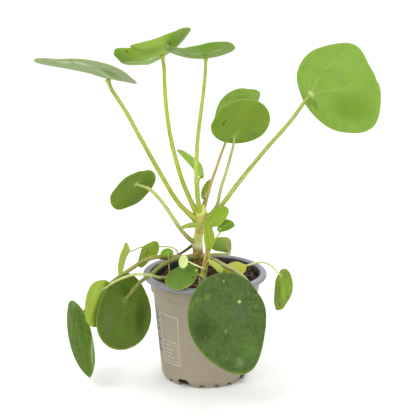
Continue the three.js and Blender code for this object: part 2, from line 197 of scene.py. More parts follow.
def set_values(piece, name, values):
    """A number or a vector at each point of a piece, for its material to read."""
    values = np.asarray(values, np.float32)
    vector = values.ndim == 2
    attribute = piece.data.attributes.new(name, "FLOAT_VECTOR" if vector else "FLOAT", "POINT")
    attribute.data.foreach_set("vector" if vector else "value", values.ravel())


def unit(vector):
    """A vector, or rows of vectors, of length 1."""
    return vector / np.linalg.norm(vector, axis=-1, keepdims=True)


def catmull_rom(before, start, end, after, part):
    """A cubic from start to end that heads the way its neighbours lie."""
    bend = (2 * before - 5 * start + 4 * end - after) * part ** 2
    twist = (3 * start - before - 3 * end + after) * part ** 3
    return 0.5 * (2 * start + (end - before) * part + bend + twist)


def soften(values, passes):
    """Rows smoothed along their length, with both ends kept."""
    values = np.array(values, float)
    for _ in range(passes):
        values[1:-1] = (values[:-2] + 2 * values[1:-1] + values[2:]) / 4
    return values


def welded(node):
    """A CAD node's mesh with its corners shared."""
    mesh = bmesh.new()
    mesh.from_mesh(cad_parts[node].data)
    bmesh.ops.remove_doubles(mesh, verts=mesh.verts, dist=1e-6)
    return mesh


def skin(rings, sides, first=0):
    """Faces of a closed tube: its wall from ring to ring, and a cap at each end."""
    wall = [
        (ring + j, ring + (j + 1) % sides, ring + sides + (j + 1) % sides, ring + sides + j)
        for ring in range(first, first + (rings - 1) * sides, sides)
        for j in range(sides)
    ]
    low_end = tuple(range(first, first + sides))[::-1]
    high_end = tuple(range(first + (rings - 1) * sides, first + rings * sides))
    return wall + [low_end, high_end]


def tube(path, radii, sides):
    """Points, faces, share of the length and turn of a round tube with closed ends along a path."""
    path = np.asarray(path, float)
    ahead = unit(np.gradient(path, axis=0))
    side = unit(np.cross(ahead[0], [0.31, 0.53, 0.79]))
    turns = np.arange(sides) / sides * 2 * math.pi
    points, along = [], []
    for i, (centre, way, radius) in enumerate(zip(path, ahead, radii)):
        side = unit(side - way * (side @ way))
        up = np.cross(way, side)
        ring = np.outer(np.cos(turns), side) + np.outer(np.sin(turns), up)
        points.append(centre + ring * np.reshape(radius, (-1, 1)))
        along.append(np.full(sides, i / (len(path) - 1)))
    faces = skin(len(path), sides)
    return np.concatenate(points), faces, np.concatenate(along), np.tile(turns, len(path))


FEWEST_POINTS = 4
NEAR_START, FAR_START = 3 * MM, 11 * MM
FIRST_REACH = 4 * MM
LONGEST_GAP = 8 * MM


def section(edges, point, heading, reach):
    """Middle and radius of a rod's section across a point, and None where the rod has ended."""
    ahead = (edges - point) @ heading
    crossed = ahead[:, 0] * ahead[:, 1] < 0
    edges, ahead = edges[crossed], ahead[crossed]
    part = (ahead[:, 0] / (ahead[:, 0] - ahead[:, 1]))[:, None]
    cuts = edges[:, 0] + part * (edges[:, 1] - edges[:, 0])
    cuts = cuts[np.linalg.norm(cuts - point, axis=1) < reach]
    if len(cuts) < FEWEST_POINTS:
        return None
    middle = cuts.mean(axis=0)
    return middle, np.linalg.norm(cuts - middle, axis=1).mean()


def trace_rod(node, start, heading, step):
    """Middle points and radii of a bent rod, walked from start along heading to its other end.

    Where the rod has corners a few millimetres from start, they show the way better than heading.
    """
    mesh = welded(node)
    corners = np.array([tuple(v.co) for v in mesh.verts])
    edges = np.array([[tuple(v.co) for v in edge.verts] for edge in mesh.edges])
    mesh.free()
    start = np.array(start, float)
    away = np.linalg.norm(corners - start, axis=1)
    ahead = corners[(away > NEAR_START) & (away < FAR_START)]
    if len(ahead) >= FEWEST_POINTS:
        heading = ahead.mean(axis=0) - start
    heading = unit(np.array(heading, float))
    point = start + heading * step / 2
    path, radii, reach, missed = [], [], FIRST_REACH, 0
    while missed < LONGEST_GAP:
        found = section(edges, point, heading, reach)
        if found is None or len(radii) > 4 and found[1] < 0.8 * np.median(radii[-5:]):
            missed += step
            point = point + heading * step
            continue
        middle, radius = found
        if path:
            heading = unit(middle - path[-1])
        path.append(middle)
        radii.append(radius)
        missed, reach = 0, 2.2 * radius + MM
        point = middle + heading * step
    return np.array(path), np.array(radii)


# ---- Materials ----
class Graph:
    """Adds nodes to a tree. Each call gives the new node's output, ready for the next call."""

    def __init__(self, tree):
        self.tree = tree

    def add(self, kind, values=(), output=0, **settings):
        """A new node with its settings. Its values are plain, or other nodes' outputs."""
        node = self.tree.nodes.new(kind)
        for key, value in settings.items():
            setattr(node, key, value)
        for key, value in dict(values).items():
            socket = node.inputs[key]
            if isinstance(value, bpy.types.NodeSocket):
                self.tree.links.new(value, socket)
            elif socket.type == "RGBA" and len(value) == 3:
                socket.default_value = (*value, 1)
            else:
                socket.default_value = value
        return node.outputs[output]

    def math(self, operation, first, second=0.0, clamp=False):
        return self.add("ShaderNodeMath", {0: first, 1: second}, operation=operation,
                        use_clamp=clamp)

    def ease(self, value, low, high, start=0.0, end=1.0):
        """start below low, end above high, and a soft step between them."""
        return self.add("ShaderNodeMapRange",
                        {"Value": value, "From Min": low, "From Max": high, "To Min": start,
                         "To Max": end}, interpolation_type="SMOOTHSTEP")

    def mix(self, part, first, second, blend="MIX"):
        return self.add("ShaderNodeMix", {0: part, 6: first, 7: second}, output=2,
                        data_type="RGBA", blend_type=blend)

    def lay(self, base, over, mask, strength):
        """over laid on base by a mask, and there as strong as strength."""
        return self.mix(self.math("MULTIPLY", mask, strength), base, over)

    def value(self, name):
        """A number that each point of the mesh carries."""
        return self.add("ShaderNodeAttribute", output="Fac", attribute_name=name)

    def vector(self, name):
        """A vector that each point of the mesh carries."""
        return self.add("ShaderNodeAttribute", output="Vector", attribute_name=name)

    def place(self):
        return self.add("ShaderNodeTexCoord", output="Object")

    def noise(self, place, scale, detail=3.0, roughness=0.5):
        return self.add("ShaderNodeTexNoise",
                        {"Vector": place, "Scale": scale, "Detail": detail, "Roughness": roughness})

    def bump(self, height, strength, distance):
        return self.add("ShaderNodeBump",
                        {"Height": height, "Strength": strength, "Distance": distance})

    def group(self, tree, values=(), output=0):
        """A shared effect as one node. Gives one output, or all of them when output is None."""
        node = self.tree.nodes.new("ShaderNodeGroup")
        node.node_tree = tree
        for key, value in dict(values).items():
            if isinstance(value, bpy.types.NodeSocket):
                self.tree.links.new(value, node.inputs[key])
            else:
                node.inputs[key].default_value = value
        return node.outputs if output is None else node.outputs[output]


def effect(name, inputs, outputs):
    """An empty node group with named sockets. Gives its graph, its inputs and a way to close it."""
    tree = bpy.data.node_groups.new(name, "ShaderNodeTree")
    for label, (kind, default) in inputs.items():
        socket = tree.interface.new_socket(label, in_out="INPUT", socket_type=kind)
        if default is not None:
            socket.default_value = default
    for label, kind in outputs.items():
        tree.interface.new_socket(label, in_out="OUTPUT", socket_type=kind)
    entry = tree.nodes.new("NodeGroupInput").outputs
    end = tree.nodes.new("NodeGroupOutput").inputs

    def close(**results):
        for label, socket in results.items():
            tree.links.new(socket, end[label])
        return tree

    return Graph(tree), entry, close


def speckle_effect():
    """Small round dots scattered over a surface, fewer as Density falls."""
    graph, entry, close = effect(
        "Speckle",
        {"Place": ("NodeSocketVector", None), "Scale": ("NodeSocketFloat", 400.0),
         "Density": ("NodeSocketFloat", 0.5), "Size": ("NodeSocketFloat", 0.25)},
        {"Mask": "NodeSocketFloat"})
    cells = graph.tree.nodes.new("ShaderNodeTexVoronoi")
    graph.tree.links.new(entry["Place"], cells.inputs["Vector"])
    graph.tree.links.new(entry["Scale"], cells.inputs["Scale"])
    dot = graph.ease(cells.outputs["Distance"], graph.math("MULTIPLY", entry["Size"], 0.5),
                     entry["Size"], 1.0, 0.0)
    pick = graph.add("ShaderNodeSeparateColor", {0: cells.outputs["Color"]})
    kept = graph.math("LESS_THAN", pick, entry["Density"])
    return close(Mask=graph.math("MULTIPLY", dot, kept))


def mottle_effect():
    """Cloudy patches from 0 to 1, with a finer grain in them."""
    graph, entry, close = effect(
        "Mottle",
        {"Place": ("NodeSocketVector", None), "Scale": ("NodeSocketFloat", 60.0),
         "Grain": ("NodeSocketFloat", 0.3)},
        {"Tone": "NodeSocketFloat"})
    broad = graph.noise(entry["Place"], entry["Scale"], 2.0)
    fine = graph.noise(entry["Place"], graph.math("MULTIPLY", entry["Scale"], 9.0), 3.0, 0.6)
    blend = graph.add("ShaderNodeMix", {0: entry["Grain"], 2: broad, 3: fine})
    return close(Tone=graph.ease(blend, 0.36, 0.64))


def vein_effect():
    """Veins that leave the stalk's end like spokes and bend towards the tip, and the net between."""
    graph, entry, close = effect(
        "Veins",
        {"Leaf Place": ("NodeSocketVector", None), "Share": ("NodeSocketFloat", 0.0),
         "Count": ("NodeSocketFloat", 9.0)},
        {"Veins": "NodeSocketFloat", "Net": "NodeSocketFloat"})
    parts = graph.tree.nodes.new("ShaderNodeSeparateXYZ")
    graph.tree.links.new(entry["Leaf Place"], parts.inputs[0])
    turn = graph.math("ARCTAN2", parts.outputs["Y"], parts.outputs["X"])
    sway = graph.math("MULTIPLY", graph.math("SINE", turn),
                      graph.math("MULTIPLY", entry["Share"], 0.5))
    wobble = graph.noise(entry["Leaf Place"], 1.1, 2.0)
    wobble = graph.math("MULTIPLY", graph.math("SUBTRACT", wobble, 0.5), 0.4)
    bent = graph.math("ADD", graph.math("ADD", turn, sway), wobble)
    half_turns = graph.math("MULTIPLY", bent, graph.math("MULTIPLY", entry["Count"], 0.5))
    off = graph.math("MULTIPLY", graph.math("ABSOLUTE", graph.math("SINE", half_turns)),
                     entry["Share"])
    width = graph.math("MULTIPLY", graph.math("SUBTRACT", 1.3, entry["Share"]), 0.13)
    veins = graph.ease(off, 0.0, width, 1.0, 0.0)
    veins = graph.math("MULTIPLY", veins, graph.ease(entry["Share"], 0.35, 0.95, 1.0, 0.1))
    cells = graph.add("ShaderNodeTexVoronoi", {"Vector": entry["Leaf Place"], "Scale": 3.2},
                      feature="DISTANCE_TO_EDGE")
    net = graph.ease(cells, 0.0, 0.14, 1.0, 0.0)
    return close(Veins=veins, Net=net)


def patch_effect():
    """A soft oval patch about a centre, turned by an angle, with a ragged edge."""
    graph, entry, close = effect(
        "Patch",
        {"Leaf Place": ("NodeSocketVector", None), "Centre": ("NodeSocketVector", (0, 0, 0)),
         "Turn": ("NodeSocketFloat", 0.0), "Reach": ("NodeSocketVector", (1, 1, 1)),
         "Soft": ("NodeSocketFloat", 0.7), "Ragged": ("NodeSocketFloat", 0.3)},
        {"Mask": "NodeSocketFloat"})
    offset = graph.add("ShaderNodeVectorMath", {0: entry["Leaf Place"], 1: entry["Centre"]},
                       operation="SUBTRACT")
    turned = graph.add("ShaderNodeVectorRotate", {"Vector": offset, "Angle": entry["Turn"]},
                       rotation_type="Z_AXIS")
    scaled = graph.add("ShaderNodeVectorMath", {0: turned, 1: entry["Reach"]},
                       operation="DIVIDE")
    reach = graph.add("ShaderNodeVectorMath", {0: scaled}, output="Value", operation="LENGTH")
    ragged = graph.noise(entry["Leaf Place"], 5.0, 4.0, 0.6)
    ragged = graph.math("MULTIPLY", graph.math("SUBTRACT", ragged, 0.5), entry["Ragged"])
    edge = graph.math("ADD", reach, ragged)
    return close(Mask=graph.ease(edge, graph.math("SUBTRACT", 1.0, entry["Soft"]), 1.0, 1.0, 0.0))


EFFECTS = {}


def shared(name, build):
    """The node group of a shared effect, built when it is first asked for."""
    if name not in EFFECTS:
        EFFECTS[name] = build()
    return EFFECTS[name]


def new_material(name):
    """An empty material and its graph."""
    material = bpy.data.materials.new(name)
    material.use_nodes = True
    material.node_tree.nodes.clear()
    return material, Graph(material.node_tree)


def finish_material(graph, shader):
    """Leads a shader to the surface of the material."""
    output = graph.tree.nodes.new("ShaderNodeOutputMaterial")
    graph.tree.links.new(shader, output.inputs["Surface"])


# Tones of each blade's upper and lower face, how speckled it is, and how strong the pale star or
# dot over its stalk's end is.
BLADE_LOOKS = {
    "top_left": ("#769850", "#AFC088", 0.15, 0.8),
    "top_middle": ("#86AE40", "#BAD25E", 0.05, 0.5),
    "top_right": ("#74A036", "#96B446", 0.05, 0.5),
    "big_right": ("#74A038", "#A2C352", 0.2, 1.0),
    "middle_right": ("#669032", "#94B236", 0.3, 0.3),
    "behind_middle_right": ("#74A03A", "#B8D260", 0.15, 0.8),
    "left": ("#5B8232", "#8EA63E", 0.25, 0.8),
    "left_light": ("#A0B448", "#C0D05A", 0.1, 0.8),
    "left_big": ("#517626", "#6A8420", 0.3, 0.2),
    "far_left": ("#608200", "#7CA030", 0.9, 0.0),
    "front_big": ("#5A753A", "#87A04A", 0.8, 1.0),
    "over_rim": ("#789E38", "#A0C052", 0.2, 0.9),
    "left_small": ("#98B000", "#B8D038", 0.1, 0.5),
    "left_edge_on": ("#B6C63C", "#C2CE44", 0.1, 0.5),
    "right_hanging": ("#67903A", "#AAC050", 0.2, 0.4),
    "back_right": ("#84B856", "#D2DC92", 0.1, 0.6),
    "small_round": ("#82B04C", "#C0E858", 0.05, 0.8),
    "pale_young": ("#F8FACA", "#FAFCC0", 0.3, 0.3),
    "offshoot_pale": ("#DAE872", "#E2EA8E", 0.1, 0.4),
    "yellow": ("#E0DC50", "#D2CC50", 0.3, 0.2),
    "crown_young": ("#A2C038", "#C0DC42", 0.05, 0.5),
    "crown_upright": ("#A4B81C", "#94AE30", 0.05, 0.5),
    "offshoot_upper": ("#A6C43A", "#AEC254", 0.05, 0.5),
    "offshoot_right": ("#86AE36", "#A8C45A", 0.05, 0.7),
    "offshoot_centre": ("#BACA3C", "#B4C252", 0.05, 0.3),
    "offshoot_left": ("#CAD672", "#C2CE66", 0.05, 0.3),
}
# Soft marks, some the blade's own (spots, veins, patches of tone) and some painted highlights, painted
# sheen
# and painted shade: place along the tip's way and aside, half length and half width, all in cm, the
# long side's way in degrees from the tip's, tone, strength, how soft and how ragged the mark's edge is.
MARKS_AND_PAINTED_LIGHT = {
    # top_left: the pale grey patches #C9D2BE and #D2DACA are a painted sheen, and the thin pale line
    # #DDE6D2 is the midrib with a painted highlight along its crease.
    "top_left": [(4.5, 2.2, 1.5, 0.75, 127, "#C9D2BE", 0.75, 0.8, 0.4),
                 (3.0, 2.75, 1.5, 0.6, 25, "#D2DACA", 0.8, 0.8, 0.4),
                 (0.35, 0.85, 1.9, 0.15, 34, "#DDE6D2", 0.85, 0.7, 0.3),
                 (0.2, 1.9, 1.9, 0.55, 38, "#6E9A46", 0.7, 0.8, 0.3),
                 (5.3, 0.7, 1.1, 0.4, 122, "#86A65C", 0.6, 0.8, 0.3),
                 (2.4, -0.3, 2.8, 0.6, 0, "#8DB04E", 0.6, 0.8, 0.3),
                 (4.0, 3.4, 0.12, 0.35, 0, "#4A5A3A", 0.8, 0.5, 0.6),
                 (3.7, 2.6, 0.1, 0.3, 0, "#4A5A3A", 0.8, 0.5, 0.6)],
    # top_middle: the thin near-white lines #E0EAD0 and #E6EEDA are pale veins with a painted highlight
    # along the crease.
    "top_middle": [(3.5, 1.2, 0.7, 1.1, 0, "#B9CC8A", 0.75, 0.8, 0.3),
                   (1.9, 2.0, 1.2, 0.5, 0, "#90B828", 0.5, 0.9, 0.3),
                   (0.7, 1.4, 1.7, 0.9, 0, "#74A020", 0.5, 0.9, 0.3),
                   (1.5, -0.8, 1.6, 0.4, 0, "#7FB048", 0.6, 0.8, 0.3),
                   (2.6, -0.2, 0.95, 0.17, 14, "#E0EAD0", 0.9, 0.7, 0.3),
                   (1.2, 0.0, 0.9, 0.16, 160, "#E6EEDA", 0.9, 0.7, 0.3),
                   (-2.5, 0.3, 1.3, 0.5, -20, "#A9BC8C", 0.7, 0.8, 0.3),
                   (2.75, 1.9, 0.12, 0.3, 0, "#7A5A40", 0.6, 0.6, 0.3)],
    # top_right: the pale grey-white patches and thin lines #C2CEA6, #B8CC96, #C4D0A2 and #DAE6CA are
    # painted highlights and a painted reflection along its crease.
    "top_right": [(-0.3, 2.6, 2.2, 0.7, 0, "#78AC20", 0.5, 0.9, 0.3),
                  (0.2, 0.6, 0.9, 0.3, 0, "#6E9C2C", 0.5, 0.9, 0.3),
                  (2.5, 0.15, 0.9, 0.35, 0, "#C2CEA6", 0.8, 0.8, 0.3),
                  (0.8, 1.1, 1.0, 0.17, 158, "#B8CC96", 0.65, 0.7, 0.3),
                  (-1.1, 1.2, 0.95, 0.22, 0, "#C4D0A2", 0.75, 0.7, 0.3),
                  (3.6, 0.4, 0.4, 0.6, 0, "#DAE6CA", 0.9, 0.8, 0.3)],
    # big_right: the dark patch #688C42 beside the stalk's end is painted shade.
    "big_right": [(5.1, -2.0, 2.6, 1.9, 30, "#A8CC68", 0.35, 0.95, 0.3),
                  (3.8, 2.2, 3.4, 1.9, 12, "#7EA62C", 0.65, 0.75, 0.3),
                  (0.0, 1.1, 0.9, 0.45, 92, "#688C42", 0.65, 0.95, 0.3),
                  (3.5, -1.1, 0.9, 0.35, 114, "#A2BE80", 0.4, 0.95, 0.3),
                  (1.15, -1.0, 1.6, 0.2, -40, "#BAD682", 0.4, 0.9, 0.1),
                  (3.1, -2.1, 1.3, 0.2, -14, "#BAD682", 0.35, 0.9, 0.1),
                  (2.6, 0.2, 3.0, 0.16, 6, "#B4D47A", 0.4, 0.9, 0.1),
                  (1.1, 1.3, 1.6, 0.2, 54, "#A6CA66", 0.35, 0.9, 0.1)],
    "middle_right": [(1.2, -2.0, 1.6, 1.1, 0, "#86AC30", 0.35, 0.9, 0.3),
                     (2.8, 1.2, 1.8, 1.4, 0, "#8C9E32", 0.4, 0.9, 0.3),
                     (0.7, 1.6, 0.7, 1.1, 0, "#7F9C5A", 0.55, 0.9, 0.3),
                     (1.55, -1.52, 0.26, 0.1, 0, "#40501A", 0.9, 0.5, 0.5),
                     (1.95, -1.45, 0.16, 0.08, 20, "#40501A", 0.8, 0.5, 0.5),
                     (0.6, 0.15, 0.35, 0.1, 0, "#C8CC7E", 0.7, 0.8, 0.2)],
    "behind_middle_right": [(2.2, -2.2, 1.2, 0.8, 60, "#BEDC88", 0.6, 0.9, 0.4),
                            (3.6, 0.2, 1.0, 1.6, 0, "#78A840", 0.45, 1.0, 0.3),
                            (4.3, 1.2, 0.8, 0.5, 0, "#A6C09A", 0.5, 1.0, 0.5),
                            (4.95, 1.3, 0.28, 0.22, 0, "#6E4E3C", 0.9, 0.6, 0.5)],
    "left": [(2.3, 0.8, 1.2, 1.4, 0, "#98A83C", 0.45, 0.8, 0.4),
             (1.6, -1.6, 1.4, 1.1, 0, "#7C8C58", 0.35, 0.8, 0.4),
             (-0.9, -0.5, 0.8, 1.6, 0, "#6E9428", 0.4, 0.9, 0.4)],
    "left_small": [(0.3, -0.1, 0.7, 0.45, 0, "#587810", 0.55, 0.9, 0.3),
                   (-0.5, -0.4, 0.5, 0.8, 0, "#ACC44C", 0.5, 0.9, 0.3),
                   (1.0, 0.62, 1.0, 0.14, 0, "#C8D494", 0.7, 0.8, 0.2)],
    "over_rim": [(1.2, -1.0, 0.9, 0.4, 0, "#5A7A46", 0.5, 0.9, 0.3),
                 (1.1, 1.3, 0.9, 0.28, 0, "#A6C852", 0.6, 0.9, 0.3),
                 (0.55, 0.66, 0.3, 0.12, -30, "#86583A", 0.9, 0.5, 0.7)],
    # front_big: the large dark patch #2E4A1A on its left half is painted shade, and the lighter patches
    # #749E4C and #93B28A on its right half are painted light.
    "front_big": [(3.9, -2.0, 2.0, 1.5, 0, "#2E4A1A", 0.55, 0.9, 0.5),
                  (0.9, 0.3, 1.8, 1.3, 20, "#6E805E", 0.45, 0.9, 0.5),
                  (3.8, 0.2, 1.0, 0.6, 0, "#4C5636", 0.4, 0.9, 0.6),
                  (3.6, 2.6, 1.6, 1.2, 0, "#749E4C", 0.5, 0.9, 0.4),
                  (5.1, 2.3, 0.7, 0.7, 0, "#93B28A", 0.45, 0.9, 0.6),
                  (0.65, -1.7, 0.9, 0.6, 40, "#4E7A2C", 0.4, 0.9, 0.6),
                  (0.81, -2.87, 0.5, 0.35, 0, "#8EB040", 0.6, 0.9, 0.9),
                  (1.39, -3.59, 0.5, 0.3, 0, "#86A63A", 0.55, 0.9, 0.9),
                  (2.12, -3.78, 0.7, 0.25, 0, "#86A63A", 0.55, 0.9, 0.9),
                  (-1.16, -2.1, 0.12, 0.12, 0, "#C2D4AC", 0.8, 0.6, 0.5),
                  (3.02, -0.04, 0.2, 0.15, 0, "#A8BE90", 0.6, 0.7, 0.8)],
    # far_left: the pale grey patch #8FA884 at its upper end is a painted sheen.
    "far_left": [(0.6, 1.0, 1.8, 0.7, 0, "#436C0E", 0.5, 0.9, 0.4),
                 (0.3, -1.0, 1.8, 0.4, 0, "#7CA63A", 0.45, 0.9, 0.4),
                 (3.0, 2.0, 2.6, 0.3, -20, "#AEC292", 0.75, 0.8, 0.3),
                 (-1.6, 0.3, 0.5, 0.8, 0, "#8FA884", 0.6, 0.9, 0.3)],
    "left_big": [(1.9, 1.9, 2.2, 1.1, 0, "#7C9050", 0.5, 0.9, 0.4),
                 (1.6, -2.0, 2.6, 1.0, 0, "#3B5214", 0.65, 0.9, 0.4),
                 (3.0, 0.2, 1.2, 0.8, 0, "#729A28", 0.45, 0.9, 0.4),
                 (-1.0, 0.2, 0.8, 1.4, 0, "#557818", 0.5, 0.9, 0.4)],
    "left_light": [(0.6, 1.0, 1.2, 0.7, 0, "#C4DE74", 0.4, 0.9, 0.3),
                   (2.3, 0.2, 1.6, 0.35, 0, "#88AC3A", 0.55, 0.9, 0.3)],
    "back_right": [(0.05, 0.3, 0.8, 0.28, 100, "#C8C2A4", 0.85, 0.7, 0.5)],
    "yellow": [(0.5, 0.5, 1.1, 0.3, 0, "#AEBC48", 0.6, 0.9, 0.4),
               (0.3, -0.9, 1.3, 0.16, 0, "#F0A43A", 0.7, 0.9, 0.4)],
    "right_hanging": [(0.1, -0.5, 0.6, 0.5, 0, "#7EA62C", 0.4, 0.9, 0.3),
                      (1.5, 0.36, 1.4, 0.2, 6, "#6E7C3A", 0.5, 0.9, 0.6),
                      (1.7, -0.15, 1.0, 0.28, 0, "#BCD45A", 0.7, 0.9, 0.5),
                      (1.5, 0.75, 1.2, 0.12, 0, "#7E7E48", 0.5, 0.8, 0.4),
                      (2.3, -0.6, 0.5, 0.3, 0, "#6E9458", 0.5, 0.9, 0.3),
                      (2.7, 0.4, 0.3, 0.3, 0, "#7E7E5E", 0.6, 0.9, 0.6)],
    "offshoot_centre": [(1.0, -0.1, 1.1, 0.06, 0, "#DCEAA2", 0.6, 0.7, 0.3)],
    "offshoot_right": [(0.9, -0.3, 0.9, 0.3, 0, "#5E8A26", 0.5, 0.9, 0.3)],
}


def with_marks_and_painted_light(graph, leaf, green, leaf_place):
    """A blade's green with its own spots and patches and its painted highlights, sheen and shade laid
    on it.
    """
    for along, aside, long, wide, turn, code, strength, soft, ragged in MARKS_AND_PAINTED_LIGHT.get(leaf, ()):
        mark = graph.group(shared("patch", patch_effect),
                           {"Leaf Place": leaf_place, "Centre": (along, aside, 0),
                            "Turn": math.radians(-turn), "Reach": (long, wide, 1), "Soft": soft,
                            "Ragged": ragged})
        green = graph.lay(green, linear(code), mark, strength)
    return green


def blade_material(leaf, looks):
    """A fleshy blade: patchy green, faint veins, fine dots, a painted highlight along its rim, and
    light through it.
    """
    upper_code, lower_code, speckled, starred = BLADE_LOOKS[leaf]
    material, graph = new_material(f"blade {leaf}")
    place, leaf_place = graph.place(), graph.vector("leaf_place")
    upward, share = graph.value("leaf_upper"), graph.value("leaf_share")
    below = graph.math("SUBTRACT", 1.0, upward)
    patches = graph.group(shared("mottle", mottle_effect),
                          {"Place": place, "Scale": 70.0, "Grain": 0.4})
    plain = graph.mix(upward, linear(lower_code), linear(upper_code))
    dark = graph.mix(min(1.0, 0.3 + 0.8 * speckled), plain, (0.68, 0.78, 0.56), blend="MULTIPLY")
    green = graph.mix(patches, dark, plain)
    blotches = graph.group(shared("mottle", mottle_effect),
                           {"Place": place, "Scale": 230.0, "Grain": 0.5})
    lighter = graph.mix(0.05 + 0.1 * speckled, plain, tuple(looks.star))
    green = graph.lay(green, lighter, blotches, 0.55)
    pale = graph.mix(0.4, plain, tuple(looks.star))
    veins = graph.group(shared("veins", vein_effect),
                        {"Leaf Place": leaf_place, "Share": share, "Count": float(looks.veins)},
                        output=None)
    vein_strength = graph.math("ADD", graph.math("MULTIPLY", below, 0.1 * starred), 0.06)
    green = graph.lay(green, pale, veins["Veins"], vein_strength)
    green = graph.lay(green, pale, veins["Net"], 0.08)
    green = with_marks_and_painted_light(graph, leaf, green, leaf_place)
    dots = graph.group(shared("speckle", speckle_effect),
                       {"Place": place, "Scale": 300.0, "Density": 0.35 * speckled, "Size": 0.4})
    green = graph.lay(green, pale, dots, 0.26)
    from_stalk = graph.add("ShaderNodeVectorMath", {0: leaf_place}, output="Value",
                           operation="LENGTH")
    star_reach = graph.math("ADD", graph.math("MULTIPLY", veins["Veins"], 0.18), 0.22)
    star = graph.ease(graph.math("DIVIDE", from_stalk, star_reach), 0.4, 1.5, starred, 0.0)
    dot = graph.ease(from_stalk, 0.05, 0.22, starred, 0.0)
    green = graph.lay(green, tuple(looks.dot), dot, upward)
    green = graph.lay(green, tuple(looks.star), star, below)
    # Pale band along the edge: a painted highlight.
    rim = graph.math("MULTIPLY", graph.value("leaf_rim"), 0.65)
    green = graph.mix(rim, green, tuple(looks.rim))
    height = graph.math("SUBTRACT", graph.math("MULTIPLY", patches, 0.3),
                        graph.math("ADD", graph.math("MULTIPLY", veins["Veins"], 0.6),
                                   graph.math("MULTIPLY", veins["Net"], 0.4)))
    normal = graph.bump(height, 0.35, 0.4 * MM)
    rough = graph.ease(patches, 0.0, 1.0, 0.36, 0.48)
    surface = graph.add("ShaderNodeBsdfPrincipled",
                        {"Base Color": green, "Roughness": rough, "Normal": normal,
                         "Specular IOR Level": 0.28 * (1 - 0.75 * speckled),
                         "Coat Weight": 0.05, "Coat Roughness": 0.3})
    warm = graph.mix(0.6, green, (0.9, 1.0, 0.25), blend="MULTIPLY")
    glow = graph.add("ShaderNodeBsdfTranslucent", {"Color": warm, "Normal": normal})
    finish_material(graph, graph.add("ShaderNodeMixShader",
                                     {0: looks.through, 1: surface, 2: glow}))
    return material


# ---- Blades ----
# A blade's grid has so many spokes, rings on its face and rings round its edge.
LARGE_GRID, SMALL_GRID = (120, 30, 5), (72, 16, 4)
LARGE_BLADE_RADIUS, FULL_RIPPLE_RADIUS = 18 * MM, 40 * MM
WIDEST_EDGE_SHARE, EDGE_STEEPNESS, WAVES_PER_METRE = 0.12, 2.5, 28
DIMPLE_REACH, THICK_RIM_REACH, RIM_HIGHLIGHT_REACH = 1.6 * MM, 1.2 * MM, 0.6 * MM


@functools.cache
def read_blade(leaf):
    """A CAD blade as rings of middle points from the stalk's end outwards, with its axes."""
    mesh = welded(f"blade_{leaf}")
    hubs = sorted(mesh.verts, key=lambda v: -len(v.link_edges))[:2]
    stalk = [v.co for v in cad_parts[f"stalk_{leaf}"].data.vertices]
    hubs.sort(key=lambda hub: min((hub.co - co).length for co in stalk))
    centre = np.array((hubs[0].co + hubs[1].co) / 2)
    face = unit(np.array(hubs[1].co - hubs[0].co))
    spokes = len(hubs[0].link_edges)
    levels = (len(mesh.verts) // 2 - 1) // spokes
    sheets = []
    for hub in hubs:
        ring, seen, rings = {hub}, {hub}, []
        for _ in range(levels):
            ring = {edge.other_vert(v) for v in ring for edge in v.link_edges} - seen
            seen |= ring
            rings.append(np.array([tuple(v.co) for v in ring]))
        sheets.append(rings)
    outline = sheets[1][-1]
    tip = outline.mean(axis=0) - centre
    tip = unit(tip - face * (tip @ face))
    side = np.cross(face, tip)
    start = outline[np.argmax((outline - centre) @ tip)] - centre
    first = math.atan2(start @ side, start @ tip) - math.pi / spokes

    def ordered(ring):
        """A ring's points in the order of their turn about the centre."""
        turns = np.arctan2((ring - centre) @ side, (ring - centre) @ tip) - first
        return ring[np.argsort(turns % (2 * math.pi))]

    rings = [(ordered(low) + ordered(high)) / 2 for low, high in zip(*sheets)]
    mesh.free()
    return np.array([np.tile(centre, (spokes, 1)), *rings]), tip, side, face


def fine_grid(coarse, spokes, shares):
    """The rings of a blade drawn again with more spokes, at finer shares of the way out."""
    levels, count = coarse.shape[0] - 1, coarse.shape[1]
    turn = np.arange(spokes) * count / spokes
    low = np.floor(turn).astype(int)
    near = [coarse[:, (low + step) % count] for step in (-1, 0, 1, 2)]
    around = catmull_rom(*near, (turn - low)[None, :, None])
    across = np.roll(around[1], spokes // 2, axis=0)
    rows = np.concatenate([across[None], around, (2 * around[-1] - around[-2])[None]])
    at = shares * levels
    low = np.minimum(np.floor(at).astype(int), levels - 1)
    near = [rows[low + step] for step in (0, 1, 2, 3)]
    return catmull_rom(*near, (at - low)[:, None, None])


